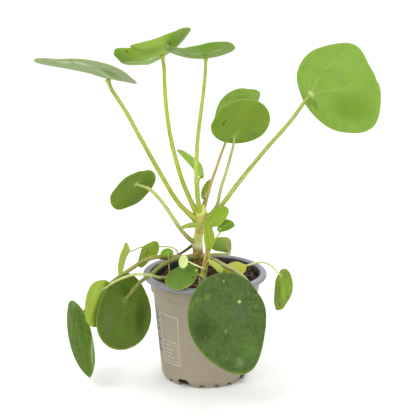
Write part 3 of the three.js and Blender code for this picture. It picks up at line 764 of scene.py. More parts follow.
# Where an edge leaves a plain oval: turn from the tip and spread, push outwards and lift towards
# the upper face in mm.
EDGE_FORMS = {
    "big_right": [(-45, 15, -2.4, 0), (-28, 8, 2.0, 0), (-9, 11, -4.2, 0), (2, 3, -1.2, 0),
                  (39, 14, 3.0, 0), (62, 9, -1.0, 0), (-98, 28, 2.2, 0)],
    "top_left": [(0, 7, 2.4, 0.2), (-30, 25, 0, 1.2), (28, 16, 0, -1.6), (-110, 22, 0, -1.7),
                 (125, 24, 0, -2.0), (172, 10, 1.5, -0.4)],
    "top_middle": [(22, 12, 4.2, 1.5), (34, 7, 2.5, 2.0), (44, 5, -8.0, -2.0), (-66, 9, 3.0, 0),
                   (-100, 14, -3.0, 0), (-130, 16, -3.5, 0), (-178, 12, 4.0, 0), (140, 16, 0, -1.0)],
    "top_right": [(9, 5, 0.5, 6.0), (45, 18, 0, -1.9), (98, 16, 0, 1.2), (180, 25, 0.8, 0)],
    "middle_right": [(-46, 14, -2.8, 0), (62, 14, -0.9, 0)],
    "behind_middle_right": [(0, 8, -1.0, 0), (25, 9, -11.0, 0), (-64, 15, -3.8, 0),
                            (-95, 18, -1.6, 0)],
    "left": [(-15, 14, 2.2, 0), (26, 16, -1.8, 0), (88, 22, 3.2, 0), (150, 14, -1.6, 0),
             (-60, 18, 1.8, 0)],
    "front_big": [(150, 38, -2.4, 0), (-60, 30, -0.9, 0)],
    "left_big": [(158, 20, -2.2, 0), (-90, 35, -0.8, 0)],
    "far_left": [(52, 25, -1.9, 0), (16, 9, -1.2, 0), (0, 5, 1.2, 0)],
    "left_light": [(120, 30, -1.4, 0)],
    "right_hanging": [(-35, 22, 0.6, 0), (2, 7, 2.4, 0), (22, 10, -1.2, 0), (60, 26, 1.8, 0)],
    "over_rim": [(15, 22, -1.6, 0), (85, 15, -1.6, 0)],
    "left_edge_on": [(0, 12, -3.0, 0), (95, 22, 0, -2.0), (-140, 22, 1.6, 1.5), (160, 22, 0, 2.5)],
    "left_small": [(38, 26, -9.0, 0), (72, 16, -2.5, 0), (-82, 22, 3.6, 0)],
    "small_round": [(85, 40, 1.5, 0)],
    "crown_young": [(52, 16, 3.6, 0), (60, 20, 2.0, 0), (0, 8, -1.4, 0)],
    "back_right": [(-60, 14, 2.4, 0), (-42, 16, 4.6, 0), (30, 20, -1.1, 0), (100, 25, -1.2, 0)],
    "yellow": [(-95, 35, 1.5, 0), (-170, 20, 1.0, 0)],
    "offshoot_upper": [(52, 20, -2.0, 0), (-72, 18, 1.6, 0), (-12, 12, 0.8, 0)],
    "offshoot_right": [(48, 20, 1.8, 0), (0, 15, -1.6, 0), (90, 25, -1.5, 0), (-22, 12, -1.5, 0)],
    "offshoot_centre": [(45, 28, 0, -3.0), (-40, 25, 1.0, 0), (0, 12, 1.0, 0)],
    "offshoot_left": [(-35, 20, 0, 0.9), (0, 10, 0, 0.8)],
    "offshoot_pale": [(22, 16, 4.0, 0.6), (-10, 14, -3.2, 0), (80, 30, 1.2, 0)],
}


def shape_edge(leaf, grid, shares, centre, tip, side, face):
    """Pushes and lifts the outer part of a blade where its edge isn't a plain oval."""
    offset = grid - centre
    turn = np.degrees(np.arctan2(offset @ side, offset @ tip))
    flat = offset - (offset @ face)[..., None] * face
    outward = flat / np.maximum(1e-9, np.linalg.norm(flat, axis=-1, keepdims=True))
    for middle, spread, push, lift in EDGE_FORMS.get(leaf, ()):
        gap = (turn - middle + 180) % 360 - 180
        weight = (np.exp(-(gap / spread) ** 2) * shares[:, None] ** EDGE_STEEPNESS)[..., None]
        grid = grid + weight * (outward * push + face * lift) * MM
    return grid


def sheet_normals(grid, face):
    """Upward unit normals of a grid of rings and spokes."""
    around = np.roll(grid, -1, axis=1) - np.roll(grid, 1, axis=1)
    outward = np.gradient(grid, axis=0)
    normals = np.cross(outward, around)
    normals[0] = face
    return unit(np.where((normals @ face)[..., None] < 0, -normals, normals))


def blade_faces(levels, spokes):
    """Faces of a closed blade: the upper and the lower one share the points of the outermost ring."""
    per_side = 1 + (levels - 2) * spokes
    bottom = per_side + spokes

    def vertex(ring, spoke, below):
        """Index of a point of the upper or the lower side."""
        if ring == 0:
            return bottom if below else 0
        if ring == levels - 1:
            return per_side + spoke % spokes
        return (bottom if below else 0) + 1 + (ring - 1) * spokes + spoke % spokes

    faces = []
    for below in (False, True):
        for spoke in range(spokes):
            quads = [(vertex(0, 0, below), vertex(1, spoke, below), vertex(1, spoke + 1, below))]
            quads += [(vertex(ring, spoke, below), vertex(ring + 1, spoke, below),
                       vertex(ring + 1, spoke + 1, below), vertex(ring, spoke + 1, below))
                      for ring in range(1, levels - 1)]
            faces += [quad[::-1] if below else quad for quad in quads]
    return faces


def soft_waves(leaf, along, aside, shares, radius, looks):
    """How far each point of a blade's grid is lifted by soft waves and by ribs between the veins."""
    out = shares[:, None]
    seed = sum(map(ord, leaf)) % 97
    waves = np.array([[noise.noise((a * WAVES_PER_METRE, b * WAVES_PER_METRE, seed))
                       for a, b in zip(*row)] for row in zip(along, aside)])
    turn = np.arctan2(aside, along)
    ribs = np.cos(looks.veins * (turn + 0.5 * out * np.sin(turn))) * out * (1 - out) * 4
    size = min(1.0, radius / FULL_RIPPLE_RADIUS)
    return looks.ripple * size * (1.6 * waves * np.minimum(1, 3 * out) - 0.35 * ribs)


def build_blade(leaf, looks):
    """A closed fleshy blade round the middle of its solid, with what its material reads."""
    coarse, tip, side, face = read_blade(leaf)
    centre = coarse[0, 0]
    radius = np.linalg.norm(coarse[-1] - centre, axis=1).mean()
    spokes, rings, edge_rings = LARGE_GRID if radius > LARGE_BLADE_RADIUS else SMALL_GRID
    edge = min(WIDEST_EDGE_SHARE, looks.edge / radius)
    swing = np.linspace(0, math.pi / 2, edge_rings + 1)[1:]
    shares = np.concatenate([np.linspace(0, 1 - edge, rings), 1 - edge + edge * np.sin(swing)])
    closing = np.concatenate([np.ones(rings), np.cos(swing)])
    grid = fine_grid(coarse, spokes, shares)
    grid = shape_edge(leaf, grid, shares, centre, tip, side, face)
    normals = sheet_normals(grid, face)
    offset = grid - centre
    along, aside = offset @ tip, offset @ side
    lift = soft_waves(leaf, along, aside, shares, radius, looks)
    grid = grid + normals * lift[..., None]
    normals = sheet_normals(grid, face)
    out = shares[:, None]
    dip = looks.dimple * np.exp(-(np.linalg.norm(offset, axis=-1) / DIMPLE_REACH) ** 2)
    half = looks.thickness / 2 * (1.1 - 0.3 * out) * closing[:, None]
    half = half * (1 + 0.25 * np.exp(-((1 - out) * radius / THICK_RIM_REACH) ** 2))
    upper = grid + normals * (half - dip)[..., None]
    lower = grid - normals * (half + 0.6 * dip)[..., None]
    points = [upper[0, 0], *upper[1:-1].reshape(-1, 3), *grid[-1],
              lower[0, 0], *lower[1:-1].reshape(-1, 3)]
    piece = new_piece(f"leaf_{leaf}", points, blade_faces(len(shares), spokes),
                      [f"blade_{leaf}"], [blade_material(leaf, looks)])

    def at_points(values):
        """A grid of values in the order of the points: upper face, outermost ring, lower face."""
        one_side = [values[:1, 0], values[1:-1].ravel()]
        return np.concatenate([*one_side, values[-1], *one_side])

    place = [at_points(along) / CM, at_points(aside) / CM, np.zeros(len(points))]
    set_values(piece, "leaf_place", np.stack(place, axis=1))
    out_grid = np.broadcast_to(out, along.shape)
    set_values(piece, "leaf_share", at_points(out_grid))
    set_values(piece, "leaf_rim",
               at_points(np.exp(-((1 - out_grid) * radius / RIM_HIGHLIGHT_REACH) ** 2)))
    per_side = (len(points) - spokes) // 2
    set_values(piece, "leaf_upper",
               np.concatenate([np.ones(per_side), np.full(spokes, 0.5), np.zeros(per_side)]))
    return piece


# ---- Stalks ----
UNDER_BLADE, STALK_STEP = 1.6 * MM, 1 * MM


@functools.cache
def stalk_line(leaf):
    """Middle points and radii of a stalk from just below its blade to the stem or the soil."""
    coarse, _, _, face = read_blade(leaf)
    return trace_rod(f"stalk_{leaf}", coarse[0, 0] - face * UNDER_BLADE, -face, STALK_STEP)


# Tone of each stalk, and how reddish its foot is.
STALK_LOOKS = {
    "top_left": ("#A2A830", 0.1), "top_middle": ("#9AAC18", 0.05), "top_right": ("#9CAE36", 0.05),
    "big_right": ("#92A23E", 0.2), "middle_right": ("#A8AE6A", 0.15),
    "behind_middle_right": ("#AB974C", 0.6), "left": ("#B4B96C", 0.3),
    "left_big": ("#6E7222", 0.2), "far_left": ("#8C8A30", 0.3), "left_light": ("#B4BC72", 0.1),
    "left_small": ("#444C1E", 0.1), "right_hanging": ("#CFD79A", 0.1),
    "back_right": ("#B9BC72", 0.1), "over_rim": ("#F0F098", 0.1), "yellow": ("#C8CC8C", 0.1),
    "left_edge_on": ("#C2D078", 0.1), "small_round": ("#B4B468", 0.1),
    # pale_young's near-white stalk tone is brightened to paint light onto a stalk that lies in shade.
    "pale_young": ("#F2F2B8", 0.1), "offshoot_upper": ("#C4D070", 0.5),
    "offshoot_right": ("#B8DA58", 0.5), "offshoot_centre": ("#D8BE6C", 0.9),
    "offshoot_left": ("#CCCC50", 0.8), "offshoot_pale": ("#DCD87C", 0.3),
    "front_big": ("#9C9A60", 0.2), "crown_young": ("#8EA432", 0.2),
    "crown_upright": ("#A09A40", 0.3),
}


# How much wider than its solid a stalk is.
STALK_WIDTHS = {"top_left": 1.15, "top_middle": 1.18, "top_right": 1.1, "big_right": 1.16, "left": 1.38,
                "middle_right": 1.18, "behind_middle_right": 1.22, "right_hanging": 1.2}
USUAL_WIDTH = 1.05


def rod_material(name, main, foot, redness):
    """Juicy plant tissue, reddish towards its foot, streaked along its length with painted highlight
    and painted shade.
    """
    material, graph = new_material(name)
    along = graph.value("rod_along")
    stretched = graph.vector("rod_place")
    streaks = graph.ease(graph.noise(stretched, 1.0, 3.0, 0.6), 0.35, 0.7)
    # A lit and a shaded copy of the stalk's tone: their streaks are painted highlight and painted
    # shade.
    lit_tone = tuple(1.14 * c for c in main)
    painted_shade_tone = tuple(c * k for c, k in zip(main, (0.5, 0.54, 0.32)))
    tone = graph.lay(lit_tone, painted_shade_tone, streaks, 0.7)
    fine = graph.group(shared("mottle", mottle_effect),
                       {"Place": graph.place(), "Scale": 140.0, "Grain": 0.4})
    tone = graph.lay(tone, (0.8, 0.85, 0.4), fine, 0.12)
    near_foot = graph.ease(graph.math("ADD", along, graph.math("MULTIPLY", fine, 0.05)), 0.72, 1.0)
    tone = graph.lay(tone, foot, near_foot, redness)
    normal = graph.bump(streaks, 0.3, 0.2 * MM)
    shader = graph.add("ShaderNodeBsdfPrincipled",
                       {"Base Color": tone, "Roughness": 0.42, "Normal": normal,
                        "Subsurface Weight": 0.06, "Subsurface Scale": 0.8 * MM,
                        "Subsurface Radius": (1.0, 1.2, 0.4), "Specular IOR Level": 0.4})
    finish_material(graph, shader)
    return material


def finer(path, parts):
    """A path with more points, on the smooth line through its own."""
    rows = np.concatenate([[2 * path[0] - path[1]], path, [2 * path[-1] - path[-2]]])
    near = [rows[k:k + len(path) - 1, None] for k in range(4)]
    part = (np.arange(parts) / parts)[None, :, None]
    return np.concatenate([catmull_rom(*near, part).reshape(-1, 3), path[-1:]])


def rod_values(piece, along, turn, length_mm):
    """Share of a rod's length at each point, and a place that is stretched along the rod."""
    set_values(piece, "rod_along", along)
    set_values(piece, "rod_place", np.stack([1.6 * np.cos(turn), 1.6 * np.sin(turn),
                                             along * length_mm * 0.06], axis=1))


FLARE_REACH, SWELLING_REACH, ROUND_END = 3.2 * MM, 9 * MM, 1.4 * MM
BELOW_UPPER_FACE, INTO_STEM = 0.4 * MM, 3 * MM


def build_stalk(leaf, looks):
    """A stalk along the middle of its solid, from inside its blade into the stem or the soil."""
    middle = read_blade(leaf)[0][0, 0]
    path, radii = stalk_line(leaf)
    middle = middle + unit(path[0] - middle) * BELOW_UPPER_FACE
    end = path[-1] + unit(path[-1] - path[-2]) * INTO_STEM
    path = np.concatenate([[middle], path, [end]])
    radii = np.concatenate([radii[:1], radii, radii[-1:]])
    path, radii = finer(soften(path, 6), 2), soften(np.repeat(radii, 2)[:-1], 6)
    steps = np.linalg.norm(np.diff(path, axis=0), axis=1)
    run = np.concatenate([[0], np.cumsum(steps)])
    flare = 1 + looks.flare * np.exp(-(run / FLARE_REACH) ** 2)
    flare *= np.sqrt(1 - (1 - run / ROUND_END).clip(0, 0.97) ** 2)
    swelling = looks.foot * (2 if path[-1][2] > CROWN_HEIGHT else 1)
    foot = 1 + swelling * np.exp(-((run[-1] - run) / SWELLING_REACH) ** 2)
    wander = np.array([1 + 0.06 * noise.noise((s * 90, len(leaf), 3)) for s in run])
    radii = STALK_WIDTHS.get(leaf, USUAL_WIDTH) * radii * flare * foot * wander
    points, faces, along, turn = tube(path, radii, looks.sides)
    code, redness = STALK_LOOKS[leaf]
    material = rod_material(f"stalk {leaf}", linear(code), tuple(looks.foot_tone), redness)
    piece = new_piece(f"petiole_{leaf}", points, faces, [f"stalk_{leaf}"], [material])
    rod_values(piece, along, turn, run[-1] / MM)
    return piece


# ---- Stems ----
CLOSE_TO_STEM = 7 * MM
STEM_SIDES, STEM_STEP = 48, 1.5 * MM
BUD_STEPS, BUD_TAPER, BUD_END = 8, 0.7, 1.5 * MM
NODE_SWELLING, NODE_REACH = 0.8 * MM, 4.5 * MM
SCAR_DEPTH, SCAR_REACH = 0.35 * MM, 2.2 * MM
BAND_HEIGHT, BAND_REACH_MM, PALE_REACH_MM, BLUSH_REACH_MM = 0.5 * MM, 1.8, 3.4, 3.0
LUMP_HEIGHT, LUMPS_PER_METRE = 0.25 * MM, 260


def stem_foot(node):
    """The middle of a stem's lower end."""
    points = np.array([tuple(v.co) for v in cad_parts[node].data.vertices])
    return points[points[:, 2] < points[:, 2].min() + 0.6 * MM].mean(axis=0)


def stem_material(node, looks):
    """A fleshy stem: brown at the foot, pale at the nodes, green above, with brown scars."""
    material, graph = new_material(f"stem {node}")
    place, height = graph.place(), graph.value("stem_height")
    scar, band = graph.value("stem_scar"), graph.value("stem_band")
    streaks = graph.ease(graph.noise(graph.vector("rod_place"), 1.3, 4.0, 0.6), 0.35, 0.65)
    cloud = graph.group(shared("mottle", mottle_effect),
                        {"Place": place, "Scale": 120.0, "Grain": 0.4})
    pale, bark = tuple(looks.pale), tuple(looks.bark)
    green = tuple(looks.green if node == "main_stem" else looks.young)
    tone = graph.lay(green, tuple(0.65 * c for c in green), streaks, 0.4)
    tone = graph.lay(tone, pale, cloud, 0.25)
    tone = graph.lay(tone, pale, band, 0.8)
    blush = graph.math("MULTIPLY", graph.value("stem_blush"), graph.ease(cloud, 0.2, 0.8, 0.15, 0.95))
    tone = graph.mix(blush, tone, tuple(looks.blush))
    low = graph.ease(graph.math("ADD", height, graph.math("MULTIPLY", cloud, 0.3)), 0.0, 0.6,
                     1.0, 0.0)
    tone = graph.lay(tone, bark, low, 0.85)
    tone = graph.lay(tone, tuple(looks.papery), scar, 0.4)
    height_map = graph.math("ADD", streaks, cloud)
    normal = graph.bump(height_map, 0.4, 0.3 * MM)
    shader = graph.add("ShaderNodeBsdfPrincipled",
                       {"Base Color": tone, "Roughness": 0.5, "Normal": normal,
                        "Subsurface Weight": 0.2, "Subsurface Scale": 1.5 * MM,
                        "Subsurface Radius": (1.0, 1.1, 0.4), "Specular IOR Level": 0.35})
    finish_material(graph, shader)
    return material


def stalk_feet(node):
    """Where stalks leave a stem, and which way: the end of each stalk that lies close to it."""
    stem = np.array([tuple(v.co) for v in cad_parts[node].data.vertices])
    feet = []
    for leaf in LEAVES:
        path, _ = stalk_line(leaf)
        if np.linalg.norm(stem - path[-1], axis=1).min() < CLOSE_TO_STEM:
            feet.append((path[-1], unit(path[-2] - path[-1])))
    return feet


def near_heights(points, heights, reach):
    """How close each point is to heights: 1 there, 0 out of reach. heights and reach are in mm."""
    return sum(np.exp(-((points[:, 2] - height * MM) / (reach * MM)) ** 2) for height in heights)


def build_stem(node, looks, feet, bud, bark, bands, blushes):
    """A stem with a bud on top, swellings and scars where stalks leave it, and ring-like nodes.

    bud is the bud's length, and bark, bands and blushes are heights, all in mm.
    """
    path, radii = trace_rod(node, stem_foot(node) + Vector((0, 0, 1 * MM)), (0, 0, 1), STEM_STEP)
    part = np.linspace(0, 1, BUD_STEPS + 1)[1:]
    path = np.concatenate([path, path[-1] + unit(path[-1] - path[-5]) * bud * MM * part[:, None]])
    radii = np.concatenate([radii, radii[-1] * (1 - BUD_TAPER * part ** 1.5)])
    path, radii = finer(soften(path, 10), 2), soften(np.repeat(radii, 2)[:-1], 10)
    steps = np.linalg.norm(np.diff(path, axis=0), axis=1)
    left = steps.sum() - np.concatenate([[0], np.cumsum(steps)])
    dome = np.sqrt(np.clip(1 - (1 - left / BUD_END).clip(0, 0.97) ** 2, 0.05, 1))
    points, faces, along, turn = tube(path, radii * 1.03 * dome, STEM_SIDES)
    outward = unit(points - np.repeat(path, STEM_SIDES, axis=0))
    swell, scar = np.zeros(len(points)), np.zeros(len(points))
    for foot, _ in feet:
        gap = np.linalg.norm(points - (foot - Vector((0, 0, 1.5 * MM))), axis=1)
        swell += NODE_SWELLING * np.exp(-(gap / NODE_REACH) ** 2)
        below = np.linalg.norm((points - (foot - Vector((0, 0, 4.5 * MM)))) * (0.6, 0.6, 1), axis=1)
        scar += np.exp(-(below / SCAR_REACH) ** 2)
    swell += BAND_HEIGHT * near_heights(points, bands, BAND_REACH_MM)
    lumps = np.array([noise.noise(Vector(p) * LUMPS_PER_METRE) for p in points])
    points = points + outward * (swell - SCAR_DEPTH * scar + LUMP_HEIGHT * lumps)[:, None]
    piece = new_piece(node, points, faces, [node], [stem_material(node, looks)])
    rod_values(piece, along, turn, 100)
    set_values(piece, "stem_height", (points[:, 2] - bark * MM) / CM)
    set_values(piece, "stem_scar", np.clip(scar, 0, 1))
    set_values(piece, "stem_band", np.clip(near_heights(points, bands, PALE_REACH_MM), 0, 1))
    set_values(piece, "stem_blush",
               np.clip(near_heights(points, blushes, BLUSH_REACH_MM), 0, 1))
    return piece


# Section of a scale: share of its half width and, in mm, how far out the point lies.
STIPULE_SECTION = ((-1, 0.06), (0, 0.26), (1, 0.06), (1, -0.06), (0, 0.14), (-1, -0.06))
STIPULE_ROWS = 6


def build_stipules(feet, looks):
    """Small papery scales that stand on the stems beside the stalks' feet."""
    rng = random.Random(5)
    points, faces = [], []
    for foot, way in feet:
        for hand in (-1, 1):
            aside = unit(np.cross(way, (0, 0, 1)) + 1e-6) * hand
            base = foot - way * 1.0 * MM + aside * 1.2 * MM - np.array((0, 0, 1.5 * MM))
            lean = unit(np.array((0, 0, 1.0)) + 0.5 * aside + 0.35 * way)
            width, tall = rng.uniform(1.0, 1.5) * MM, rng.uniform(2.6, 4.2) * MM
            across = unit(np.cross(lean, aside))
            faces += skin(STIPULE_ROWS, len(STIPULE_SECTION), len(points))
            for part in np.linspace(0, 1, STIPULE_ROWS):
                half = 0.5 * width * (1 - 0.95 * part ** 1.6)
                middle = base + lean * tall * part + aside * 0.5 * MM * part ** 2
                points += [middle + across * half * side + aside * depth * MM
                           for side, depth in STIPULE_SECTION]
    material, graph = new_material("papery scale")
    cloud = graph.group(shared("mottle", mottle_effect),
                        {"Place": graph.place(), "Scale": 400.0, "Grain": 0.5})
    tone = graph.mix(cloud, tuple(looks.papery), tuple(looks.pale))
    surface = graph.add("ShaderNodeBsdfPrincipled", {"Base Color": tone, "Roughness": 0.75})
    finish_material(graph, surface)
    return new_piece("stipules", points, faces, (), [material])


# ---- Soil ----
def soil_material(looks):
    """Dark grainy peat with a few lighter crumbs."""
    material, graph = new_material("soil peat")
    place = graph.place()
    grains = graph.group(shared("mottle", mottle_effect),
                         {"Place": place, "Scale": 420.0, "Grain": 0.5})
    cloud = graph.noise(place, 90.0, 4.0, 0.6)
    tone = graph.mix(grains, tuple(looks.dark), tuple(looks.brown))
    crumbs = graph.group(shared("speckle", speckle_effect),
                         {"Place": place, "Scale": 520.0, "Density": 0.12, "Size": 0.4})
    tone = graph.lay(tone, tuple(looks.fibre), crumbs, 0.6)
    normal = graph.bump(graph.math("ADD", cloud, grains), 0.9, 0.8 * MM)
    shader = graph.add("ShaderNodeBsdfPrincipled",
                       {"Base Color": tone, "Roughness": 0.92, "Normal": normal,
                        "Specular IOR Level": 0.2})
    finish_material(graph, shader)
    return material


def bits_material(name, first, second, roughness):
    """Loose bits whose tone differs from one to the next."""
    material, graph = new_material(name)
    tone = graph.mix(graph.value("tone"), first, second)
    grain = graph.noise(graph.place(), 900.0, 3.0)
    tone = graph.mix(graph.ease(grain, 0.4, 0.7, 0.0, 0.35), tone, tuple(0.4 * c for c in first))
    normal = graph.bump(grain, 0.5, 0.2 * MM)
    shader = graph.add("ShaderNodeBsdfPrincipled",
                       {"Base Color": tone, "Roughness": roughness, "Normal": normal})
    finish_material(graph, shader)
    return material


# What a ray hits below this height is the bottom of a hole for a stem.
HOLE_BELOW = 80 * MM
BANK_REACH = 45 * MM
SIDE_TOP = 90 * MM
FIBRE_STEPS, FIBRE_SIDES, SHORTEST_FIBRE = 7, 5, 4
CHIP_SIZES, CHIP_CORNERS = (0.8, 1.0, 1.2, 1.6, 2.4), 11


@functools.cache
def solid_tree(node):
    """A CAD node's surface, ready to be hit by rays."""
    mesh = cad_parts[node].data
    return BVHTree.FromPolygons([v.co for v in mesh.vertices], [p.vertices for p in mesh.polygons])


def lumpy_height(x, y, looks):
    """Height of the soil at a place in the pot, with its lumps, banked up behind the plant."""
    hit = solid_tree("soil").ray_cast(Vector((x, y, 0.2)), Vector((0, 0, -1)))[0]
    base = hit.z if hit and hit.z > HOLE_BELOW else SOIL_TOP
    base += looks.bank * max(0.0, min(1.0, (y + 0.6 * x) / BANK_REACH)) ** 1.5
    coarse = noise.fractal(Vector((x, y, 0)) * 75, 1.0, 2.0, 3)
    fine = noise.fractal(Vector((x, y, 0.1)) * 330, 0.9, 2.0, 3)
    return base + looks.relief * (0.45 * coarse + 0.3 * fine)


def build_soil(looks, pot):
    """Soil from its lumpy top down the wall of the pot to the floor, with fibres and chips on it."""
    spokes, rings, down = 160, 60, 24
    low = min(v.co.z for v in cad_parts["soil"].data.vertices)
    wide = pot.mouth_radius - 2.4 * MM
    points = [(0, 0, lumpy_height(0, 0, looks))]
    for ring in range(1, rings + 1):
        for spoke in range(spokes):
            turn = spoke / spokes * 2 * math.pi
            x, y = wide * ring / rings * math.cos(turn), wide * ring / rings * math.sin(turn)
            points.append((x, y, lumpy_height(x, y, looks)))
    for step in range(1, down + 1):
        z = SIDE_TOP + (low - SIDE_TOP) * step / down
        reach = wide if z > pot.collar_bottom else inside_radius(pot, z) - 0.3 * MM
        for spoke in range(spokes):
            turn = spoke / spokes * 2 * math.pi
            points.append((reach * math.cos(turn), reach * math.sin(turn), z))
    rows = rings + down
    faces = []
    for spoke in range(spokes):
        after = (spoke + 1) % spokes
        faces.append((0, 1 + spoke, 1 + after))
        for row in range(rows - 1):
            a, b = 1 + row * spokes + spoke, 1 + row * spokes + after
            faces.append((a, a + spokes, b + spokes, b))
    faces.append(tuple(1 + (rows - 1) * spokes + spoke for spoke in range(spokes))[::-1])
    new_piece("soil_body", points, faces, ["soil"], [soil_material(looks)])
    scatter_fibres(looks, wide - 1.5 * MM)
    scatter_chips(looks, wide - 2 * MM)


def scatter_fibres(looks, reach):
    """Thin bent coir fibres, mostly lying on the soil with some ends in the air."""
    rng = random.Random(looks.seed)
    points, faces, tones = [], [], []
    for _ in range(looks.fibres):
        away, turn = reach * math.sqrt(rng.random()), rng.uniform(0, 2 * math.pi)
        x, y = away * math.cos(turn), away * math.sin(turn)
        heading, bend = rng.uniform(0, 2 * math.pi), rng.uniform(-0.5, 0.5)
        size = rng.uniform(5, 15) * MM
        thick = rng.uniform(0.13, 0.34) * MM
        rise = rng.choice((0, 0, 0, 1)) * rng.uniform(1, 4) * MM
        path = []
        for step in range(FIBRE_STEPS + 1):
            part = step / FIBRE_STEPS
            wave = noise.noise((x * 900, y * 900, part * 3))
            z = lumpy_height(x, y, looks) + thick + 0.5 * MM * abs(wave) + rise * part ** 2
            path.append((x, y, z))
            heading += bend + 0.5 * wave
            x += size / FIBRE_STEPS * math.cos(heading)
            y += size / FIBRE_STEPS * math.sin(heading)
            if math.hypot(x, y) > reach:
                break
        if len(path) < SHORTEST_FIBRE:
            continue
        ends = np.linspace(0, 1, len(path))
        radii = thick * (0.35 + 0.65 * np.sin(math.pi * (0.12 + 0.76 * ends)))
        ring, quads, _, _ = tube(path, radii, FIBRE_SIDES)
        faces += [tuple(len(points) + i for i in quad) for quad in quads]
        points += list(ring)
        tones += [rng.random() ** 1.6] * len(ring)
    material = bits_material("coir fibre", tuple(looks.brown), tuple(looks.fibre), 0.7)
    piece = new_piece("soil_fibres", points, faces, (), [material])
    set_values(piece, "tone", tones)


def scatter_chips(looks, reach):
    """Crumbs and bark chips with broken faces, half sunk in the soil."""
    rng = random.Random(looks.seed + 1)
    piece_mesh = bmesh.new()
    tone_layer = piece_mesh.verts.layers.float.new("tone")
    for _ in range(looks.chips):
        away, turn = reach * math.sqrt(rng.random()), rng.uniform(0, 2 * math.pi)
        x, y = away * math.cos(turn), away * math.sin(turn)
        size = rng.choice(CHIP_SIZES) * rng.uniform(0.7, 1.2) * MM
        flat, long = rng.uniform(0.3, 0.8), rng.uniform(1.0, 2.2)
        way, tone = rng.uniform(0, 2 * math.pi), rng.random() ** 3
        z = lumpy_height(x, y, looks) + 0.2 * size
        cloud = []
        for _ in range(CHIP_CORNERS):
            p = Vector((rng.gauss(0, 1), rng.gauss(0, 1), rng.gauss(0, 1))).normalized() * size
            p = Vector((p.x * long, p.y, p.z * flat))
            spun = Vector((p.x * math.cos(way) - p.y * math.sin(way),
                           p.x * math.sin(way) + p.y * math.cos(way), p.z))
            cloud.append(piece_mesh.verts.new(spun + Vector((x, y, z))))
        made = bmesh.ops.convex_hull(piece_mesh, input=cloud)
        unused = [v for v in made["geom_interior"] if isinstance(v, bmesh.types.BMVert)]
        bmesh.ops.delete(piece_mesh, geom=unused, context="VERTS")
        for vert in cloud:
            if vert.is_valid:
                vert[tone_layer] = tone
    mesh = bpy.data.meshes.new("soil_chips")
    piece_mesh.to_mesh(mesh)
    piece_mesh.free()
    mesh.materials.append(bits_material("bark chip", tuple(looks.dark), tuple(looks.fibre), 0.85))
    piece = bpy.data.objects.new("soil_chips", mesh)
    bpy.context.scene.collection.objects.link(piece)
    settle(piece)


# ---- Pot ----
# Sizes in mm that the settings leave alone, and the rolled rim's way round in degrees.
RIM_RADIUS, RIM_TOP = 60, 106.0
ROLL_CENTRE_HEIGHT, ROLL_WIDE, ROLL_HIGH = 103.2, 3.0, 2.8
ROLL_POINTS, ROLL_FROM, ROLL_TURN = 15, -68, 164
COLLAR_STEP = 2.5
WALL_STEPS, POT_SPOKES = 22, 192
OUTSIDE, LIP, INSIDE = 0, 1, 2
# Notches in the foot: azimuths in degrees, and outlines as places aside and heights in mm.
FIRST_NOTCH, NOTCHES = 240, 4
WIDE_NOTCH = ((-6.8, -1), (-6.3, 4.2), (-5.4, 6.6), (-3.8, 7.9), (3.8, 7.9), (5.2, 6.9), (6.2, 4.6),
              (7.2, -1))
ARCH_OFFSETS, ARCH_HALF, ARCH_HIGH, ARCH_FOOT = (26, 46, 66), 2.9, 3.5, 3.4


def plastic(name, tone, roughness, painted_reflections=0.0):
    """Moulded plastic with a fine grain, faint wear and, inside the pot, upright streaks that are
    painted reflections.
    """
    material, graph = new_material(name)
    place = graph.place()
    grain = graph.noise(place, 2600.0, 2.0)
    wear = graph.group(shared("mottle", mottle_effect),
                       {"Place": place, "Scale": 38.0, "Grain": 0.3})
    base = graph.lay(tone, tuple(0.78 * c for c in tone), wear, 0.16)
    # Pale upright streaks on the inner wall: painted reflections.
    if painted_reflections:
        upright = graph.add("ShaderNodeVectorMath", {0: place, 1: (1, 1, 0.06)}, output="Vector",
                            operation="MULTIPLY")
        streaks = graph.ease(graph.noise(upright, 420.0, 2.0), 0.55, 0.75, 0.0, painted_reflections)
        base = graph.mix(streaks, base, tuple(3 * c for c in tone))
    normal = graph.bump(grain, 0.12, 0.1 * MM)
    rough = graph.ease(wear, 0.0, 1.0, roughness, roughness + 0.1)
    shader = graph.add("ShaderNodeBsdfPrincipled",
                       {"Base Color": base, "Roughness": rough, "Normal": normal,
                        "Specular IOR Level": 0.45})
    finish_material(graph, shader)
    return material


